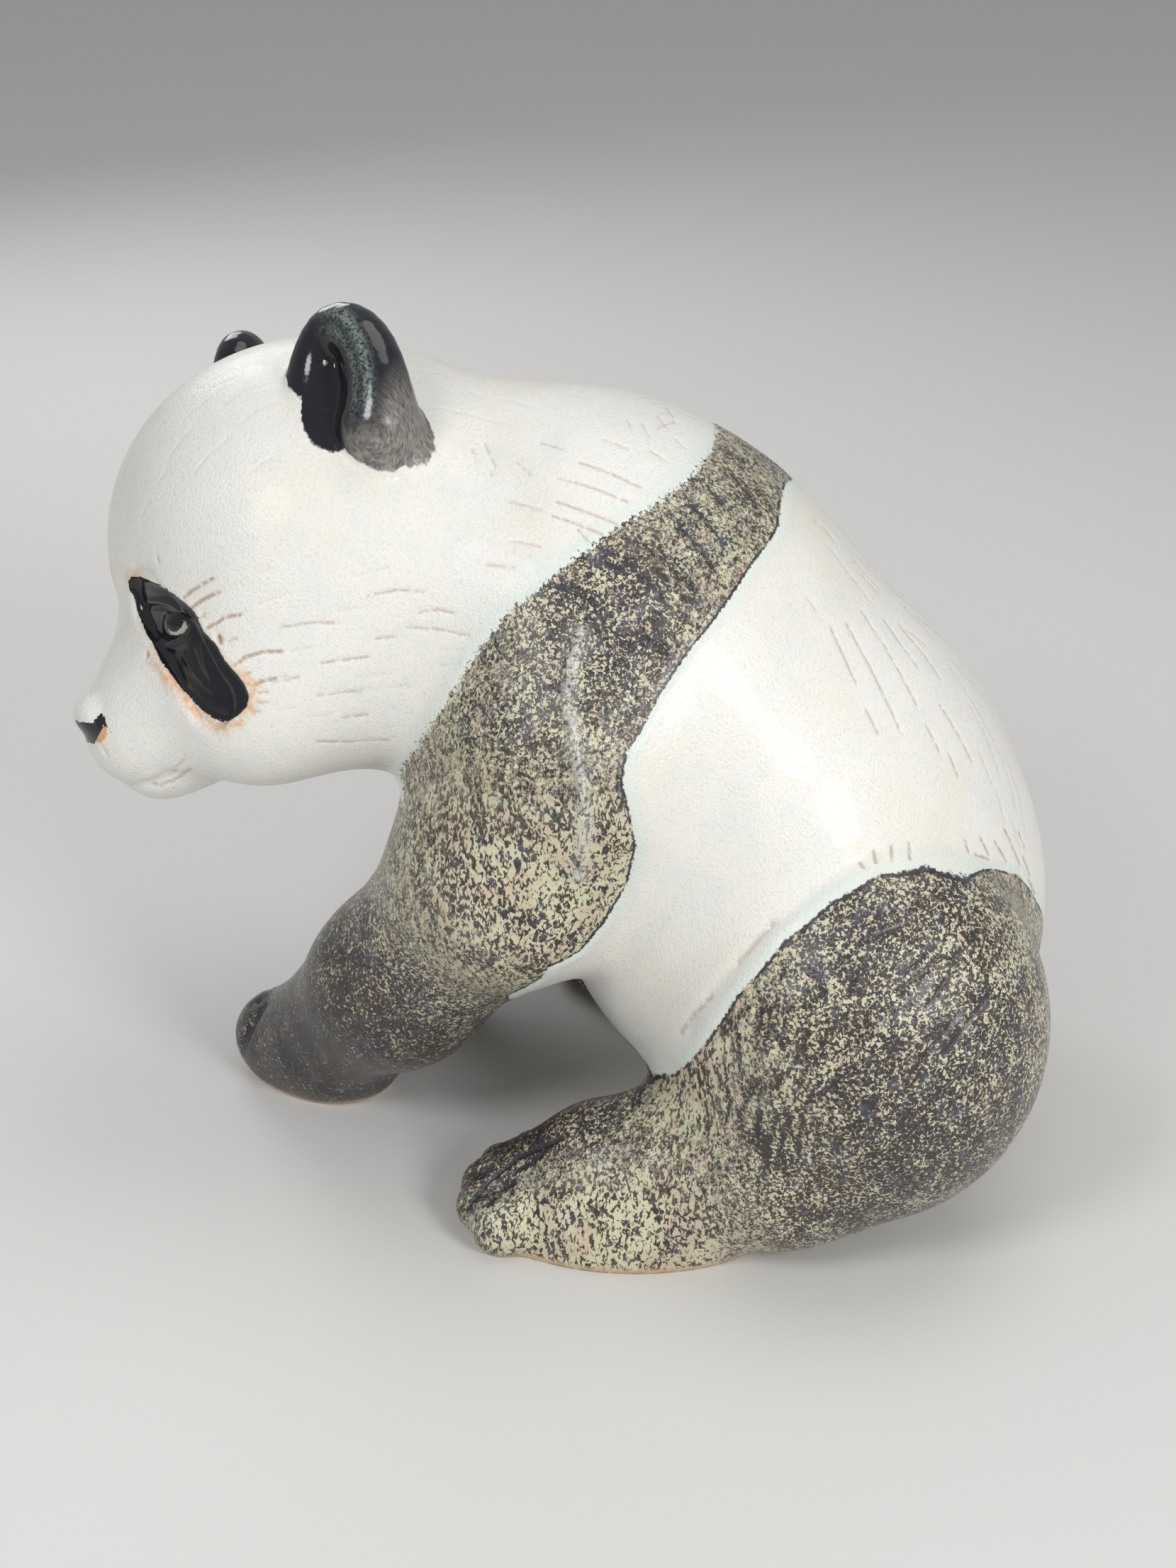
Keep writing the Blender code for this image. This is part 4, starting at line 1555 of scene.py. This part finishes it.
class GlazeBench(NodeBench):
    """A bench for the figurine's material, with its node groups and the places on the figurine."""

    def __init__(self, tree: bpy.types.NodeTree) -> None:
        """Take the tree to work on, and make the groups and the places, plain and along the fur."""
        super().__init__(tree)
        self.edge, self.broken, self.stain = ragged_edge_group(), broken_glaze_group(), stain_group()
        place = self.node("ShaderNodeTexCoord").outputs["Object"]
        self.parts = self.moved(place, scale=(1 / PART, 1 / PART, 1 / PART))
        self.streaky = self.moved(self.parts, (math.radians(-30), 0, 0), (1, 1, 0.55))

    def mask(self, distance: Value, ragged: Value, scale: float, soft: float) -> Socket:
        """Return a mask that is 1 where a distance is above zero, with a ragged edge."""
        inputs = {"Distance": distance, "Raggedness": ragged, "Scale": scale, "Softness": soft}
        return self.group(self.edge, Vector=self.parts, **inputs).outputs[0]

    def patches(
        self, low: float, high: float, scale: float, detail: float = 2, rough: float = 0.5, warp: float = 0
    ) -> Socket:
        """Return patches that rise from 0 to 1 where a cloud goes from a low to a high value."""
        return self.rise(self.cloud(self.parts, scale, detail, rough, warp), low, high)


@dataclass(frozen=True)
class WhiteGlaze:
    """Warm white satin glaze with a fine grain."""

    colour: Point = (0.80, 0.785, 0.735, 1)
    cool: Point = (0.72, 0.755, 0.72, 1)
    mint: Point = (0.65, 0.75, 0.695, 1)
    warm: Point = (0.80, 0.745, 0.64, 1)
    grey: Point = (0.52, 0.50, 0.43, 1)
    slip: Point = (0.40, 0.265, 0.165, 1)
    roughness: float = 0.36


@dataclass(frozen=True)
class CharcoalGlaze:
    """Charcoal glaze that breaks to cream, with a dark line where it meets the white."""

    ground: Point = (0.030, 0.027, 0.031, 1)
    brown: Point = (0.045, 0.034, 0.028, 1)
    blue: Point = (0.075, 0.08, 0.105, 1)
    cream: Point = (0.68, 0.65, 0.45, 1)
    beige: Point = (0.63, 0.53, 0.38, 1)
    # Pale colour of the painted highlight along the upper arm's ridge.
    ridge_highlight_colour: Point = (0.68, 0.69, 0.66, 1)
    roughness: float = 0.3


@dataclass(frozen=True)
class BlackGlaze:
    """Glossy black glaze of the eye patches, the nose and the ears."""

    colour: Point = (0.012, 0.012, 0.016, 1)
    smoke: Point = (0.03, 0.03, 0.034, 1)
    drab: Point = (0.10, 0.095, 0.09, 1)
    # Greenish-blue tint of the painted highlight streaks on the ears' rims.
    rim_highlight_tint: Point = (0.22, 0.27, 0.26, 1)
    thin: Point = (0.30, 0.28, 0.25, 1)
    glint: Point = (0.42, 0.44, 0.34, 1)
    roughness: float = 0.1


@dataclass(frozen=True)
class BareClay:
    """Buff stoneware without glaze."""

    buff: Point = (0.60, 0.46, 0.31, 1)
    rust: Point = (0.72, 0.42, 0.20, 1)
    roughness: float = 0.7


@dataclass
class PandaFinish:
    """The figurine's glazes, laid over each other in one material."""

    white: WhiteGlaze = WhiteGlaze()
    charcoal: CharcoalGlaze = CharcoalGlaze()
    black: BlackGlaze = BlackGlaze()
    clay: BareClay = BareClay()
    sole_height: float = 1.1

    def build(self) -> bpy.types.Material:
        """Make the material.

        Returns:
            The material, which reads the values that the mesh holds.
        """
        material = bpy.data.materials.new("panda glazes")
        material.use_nodes = True
        bench = GlazeBench(material.node_tree)
        shader = material.node_tree.nodes["Principled BSDF"]
        patch, ear = bench.noted("patch"), bench.noted("ear")
        dark = bench.mask(bench.noted("charcoal"), bench.blend(bench.noted("front_edge"), 0.9, 3.4), 1.6, 0.1)
        nose = bench.mask(bench.noted("nose"), 1.5, 1.4, 0.05)
        face = bench.larger(bench.mask(patch, 0.35, 1.2, 0.07), nose)
        black = bench.larger(face, bench.mask(ear, 0.8, 0.9, 0.12))
        bare = bench.mask(bench.noted("nose_clay"), 0.4, 1, 0.06)
        glint = bench.mask(bench.noted("glint"), 0.25, 2, 0.08)
        height = bench.node("ShaderNodeSeparateXYZ", {0: bench.parts}).outputs[2]
        sole = bench.mask(bench.less(self.sole_height, height), 1.2, 0.5, 0.5)
        halo = bench.times(bench.mask(bench.plus(patch, 1.5), 3.2, 0.55, 0.9), bench.noted("rust"))
        halo = bench.times(halo, bench.patches(0.22, 0.6, 0.9, 2, 0.65))

        white, grain = self.white_colour(bench)
        colour = bench.mix(dark, white, self.charcoal_colour(bench))
        colour = bench.mix(bench.times(halo, 0.85), colour, self.clay.rust)
        colour = bench.mix(black, colour, self.black_colour(bench))
        colour = bench.mix(bare, colour, self.clay.rust)
        colour = bench.mix(glint, colour, self.black.glint)
        colour = bench.mix(bench.times(sole, 0.85), colour, self.clay.buff)
        bench.put(shader.inputs["Base Color"], colour)

        rough = bench.blend(dark, self.white.roughness, self.charcoal.roughness)
        rough = bench.plus(rough, bench.times(bench.less(bench.cloud(bench.parts, 0.35, 1), 0.5), 0.16))
        gloss = bench.plus(self.black.roughness, bench.times(bench.noted("skirt"), 0.35))
        rough = bench.blend(black, rough, gloss)
        rough = bench.blend(bench.larger(sole, bare), rough, self.clay.roughness)
        bench.put(shader.inputs["Roughness"], rough)

        smooth = bench.larger(bench.rise(patch, -0.1, 0.3), bench.rise(ear, -0.1, 0.3))
        relief = bench.times(grain, bench.blend(smooth, 1.0, 0.12))
        bump = bench.node("ShaderNodeBump", {"Height": relief, "Strength": 0.8, "Distance": 0.0002})
        bench.put(shader.inputs["Normal"], bump.outputs[0])
        shader.inputs["IOR"].default_value = 1.48
        shader.inputs["Coat Weight"].default_value = 0.08
        shader.inputs["Coat Roughness"].default_value = 0.1
        return material

    def white_colour(self, bench: GlazeBench) -> tuple[Socket, Socket]:
        """Mix the white glaze, minty beside the charcoal and with slip in its marks.

        Args:
            bench: The material's bench.

        Returns:
            The glaze's colour and the height of its grain.
        """
        colour = bench.mix(bench.patches(0.5, 0.72, 0.045), self.white.colour, self.white.warm)
        colour = bench.mix(bench.times(bench.patches(0.44, 0.7, 0.16, 3, 0.65), 0.6), colour, self.white.cool)
        near = bench.rise(bench.noted("charcoal"), -3.2, -0.3)
        colour = bench.mix(bench.times(near, 0.5), colour, self.white.mint)
        grain = bench.cloud(bench.parts, 2.2, 2, 0.65)
        colour = bench.mix(bench.times(bench.rise(grain, 0.5, 0.72), 0.32), colour, self.white.grey)
        strength = bench.group(bench.stain, Vector=bench.parts, Strength=bench.noted("brown")).outputs[0]
        return bench.mix(bench.times(strength, 0.8), colour, self.white.slip), grain

    def cream_share(self, bench: GlazeBench) -> Socket:
        """Work out how much of the charcoal glaze has broken to cream.

        Args:
            bench: The material's bench.

        Returns:
            The share, lower in pools and along the rear edge, and combed on the thighs.
        """
        share = bench.less(bench.noted("cream"), bench.times(bench.noted("pool"), 0.75))
        combed = bench.less(bench.cloud(bench.moved(bench.streaky, scale=(1, 1, 0.3)), 0.8), 0.5)
        share = bench.plus(share, bench.times(combed, bench.blend(bench.noted("fur"), 0.5, 1.5)))
        rim = bench.rise(bench.noted("charcoal"), 0.5, 0.1)
        rim = bench.math("SUBTRACT", rim, bench.noted("front_edge"), clamp=True)
        return bench.less(share, bench.times(rim, bench.patches(0.36, 0.56, 0.3, 1)))

    def charcoal_colour(self, bench: GlazeBench) -> Socket:
        """Mix the charcoal glaze and its cream flecks, with a painted highlight along the upper arm's ridge.

        Args:
            bench: The material's bench.

        Returns:
            The glaze's colour.
        """
        share = self.cream_share(bench)
        coarse = bench.group(bench.broken, Vector=bench.streaky, Cream=share, Scale=1.6).outputs
        fine = bench.group(bench.broken, Vector=bench.parts, Cream=share, Scale=1.9).outputs
        size = bench.rise(bench.noted("cream"), 0.32, 0.5)
        flecks, veil = (bench.blend(size, fine[name], coarse[name]) for name in ("Flecks", "Veil"))
        ground = bench.mix(bench.patches(0.42, 0.66, 0.12, 1), self.charcoal.ground, self.charcoal.brown)
        blue = bench.times(bench.patches(0.5, 0.72, 0.3, 2, 0.6), 0.8)
        ground = bench.mix(blue, ground, self.charcoal.blue)
        ground = bench.mix(bench.times(veil, 0.12), ground, self.charcoal.beige)
        pale = bench.mix(bench.patches(0.36, 0.6, 0.2), self.charcoal.beige, self.charcoal.cream)
        strong = bench.blend(bench.rise(bench.noted("cream"), -0.1, 0.45), 0.5, 0.95)
        colour = bench.mix(bench.times(flecks, strong), ground, pale)
        # Painted highlight: a pale streak along the upper arm's ridge.
        bare = bench.math("MULTIPLY", bench.noted("ridge"), bench.patches(0.34, 0.56, 1.3), clamp=True)
        return bench.mix(bench.times(bare, 0.6), colour, self.charcoal.ridge_highlight_colour)

    def black_colour(self, bench: GlazeBench) -> Socket:
        """Mix the black glaze, with greenish-blue painted highlights along the ears' rims and thin brushed
        feet on the ears.

        Args:
            bench: The material's bench.

        Returns:
            The glaze's colour.
        """
        smoke = bench.patches(0.56, 0.9, 0.7, 3, 0.6, 0.6)
        colour = bench.mix(smoke, self.black.colour, self.black.smoke)
        # Painted highlight: greenish-blue streaks along the front of the ears' rims.
        rim_highlight = bench.times(bench.noted("rim_highlight"), bench.patches(0.36, 0.62, 2, 3, 0.7))
        colour = bench.mix(rim_highlight, colour, self.black.rim_highlight_tint)
        brushed = bench.moved(bench.parts, (0.3, 0.9, 0.2), (3.4, 0.8, 0.8))
        hair = bench.rise(bench.cloud(brushed, 1.2, 2, 0.6, 0.4), 0.3, 0.7)
        thin = bench.mix(hair, self.black.drab, self.black.thin)
        return bench.mix(bench.noted("skirt"), colour, thin)


@dataclass(frozen=True)
class SoftLight:
    """One round soft light that faces the figurine.

    Args:
        name: Its name.
        place: Where it hangs, in metres.
        size: Its diameter, in metres.
        power: Its power, in watts.
        aim: The point that it faces, in metres.
    """

    name: str
    place: Point
    size: float
    power: float
    aim: Point = (0, 0, 0.07)

    def build(self) -> None:
        """Make the light."""
        data = bpy.data.lights.new(self.name, "AREA")
        data.shape = "DISK"
        data.size = self.size
        data.energy = self.power
        light = bpy.data.objects.new(self.name, data)
        light.location = self.place
        way = Vector(self.aim) - Vector(self.place)
        light.rotation_euler = way.to_track_quat("-Z", "Y").to_euler()
        bpy.context.scene.collection.objects.link(light)


@dataclass
class Studio:
    """The pale floor, the soft lights and the pale surroundings."""

    floor_size: float = 24
    floor_colour: Point = (0.72, 0.71, 0.69, 1)
    room_colour: Point = (0.90, 0.91, 0.93, 1)
    room_strength: float = 0.40
    lights: tuple[SoftLight, ...] = (
        SoftLight("key_light", (0.42, -0.22, 0.46), 0.20, 1.1),
        SoftLight("fill_light", (0.40, 0.42, 0.32), 0.18, 1.8),
        SoftLight("top_light", (-0.10, 0.15, 0.70), 0.45, 1.0),
        SoftLight("far_light", (-0.45, -0.30, 0.35), 0.30, 0.7),
    )

    def build(self) -> None:
        """Make the floor, the lights and the surroundings."""
        self.build_floor()
        self.build_room()
        for light in self.lights:
            light.build()

    def build_floor(self) -> None:
        """Make the floor."""
        mesh = bmesh.new()
        bmesh.ops.create_grid(mesh, x_segments=1, y_segments=1, size=self.floor_size / 2)
        data = bpy.data.meshes.new("floor")
        mesh.to_mesh(data)
        mesh.free()
        floor = bpy.data.objects.new("floor", data)
        bpy.context.scene.collection.objects.link(floor)
        material = bpy.data.materials.new("pale floor")
        material.use_nodes = True
        bench = NodeBench(material.node_tree)
        shader = material.node_tree.nodes["Principled BSDF"]
        place = bench.node("ShaderNodeTexCoord").outputs["Object"]
        shade = (*(0.97 * part for part in self.floor_colour[:3]), 1)
        tone = bench.mix(bench.cloud(place, 9, 3), self.floor_colour, shade)
        bench.put(shader.inputs["Base Color"], tone)
        shader.inputs["Roughness"].default_value = 0.75
        data.materials.append(material)

    def build_room(self) -> None:
        """Light the scene softly from all round."""
        world = bpy.data.worlds.new("room")
        world.use_nodes = True
        background = world.node_tree.nodes["Background"]
        background.inputs["Color"].default_value = self.room_colour
        background.inputs["Strength"].default_value = self.room_strength
        bpy.context.scene.world = world


def main() -> None:
    """Build the figurine and its studio in order."""
    logging.basicConfig(level=logging.INFO, format="%(message)s")
    view = PictureView()
    view.build()
    LOG.info("camera in place")
    Studio().build()
    LOG.info("floor and lights in place")
    piece = Figurine(view).build()
    piece.data.materials.append(PandaFinish().build())
    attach(piece, "root")
    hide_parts("panda")
    LOG.info("figurine: %d triangles", sum(len(face.vertices) - 2 for face in piece.data.polygons))
    bpy.context.scene.view_settings.view_transform = "Standard"


if __name__ == "__main__":
    main()
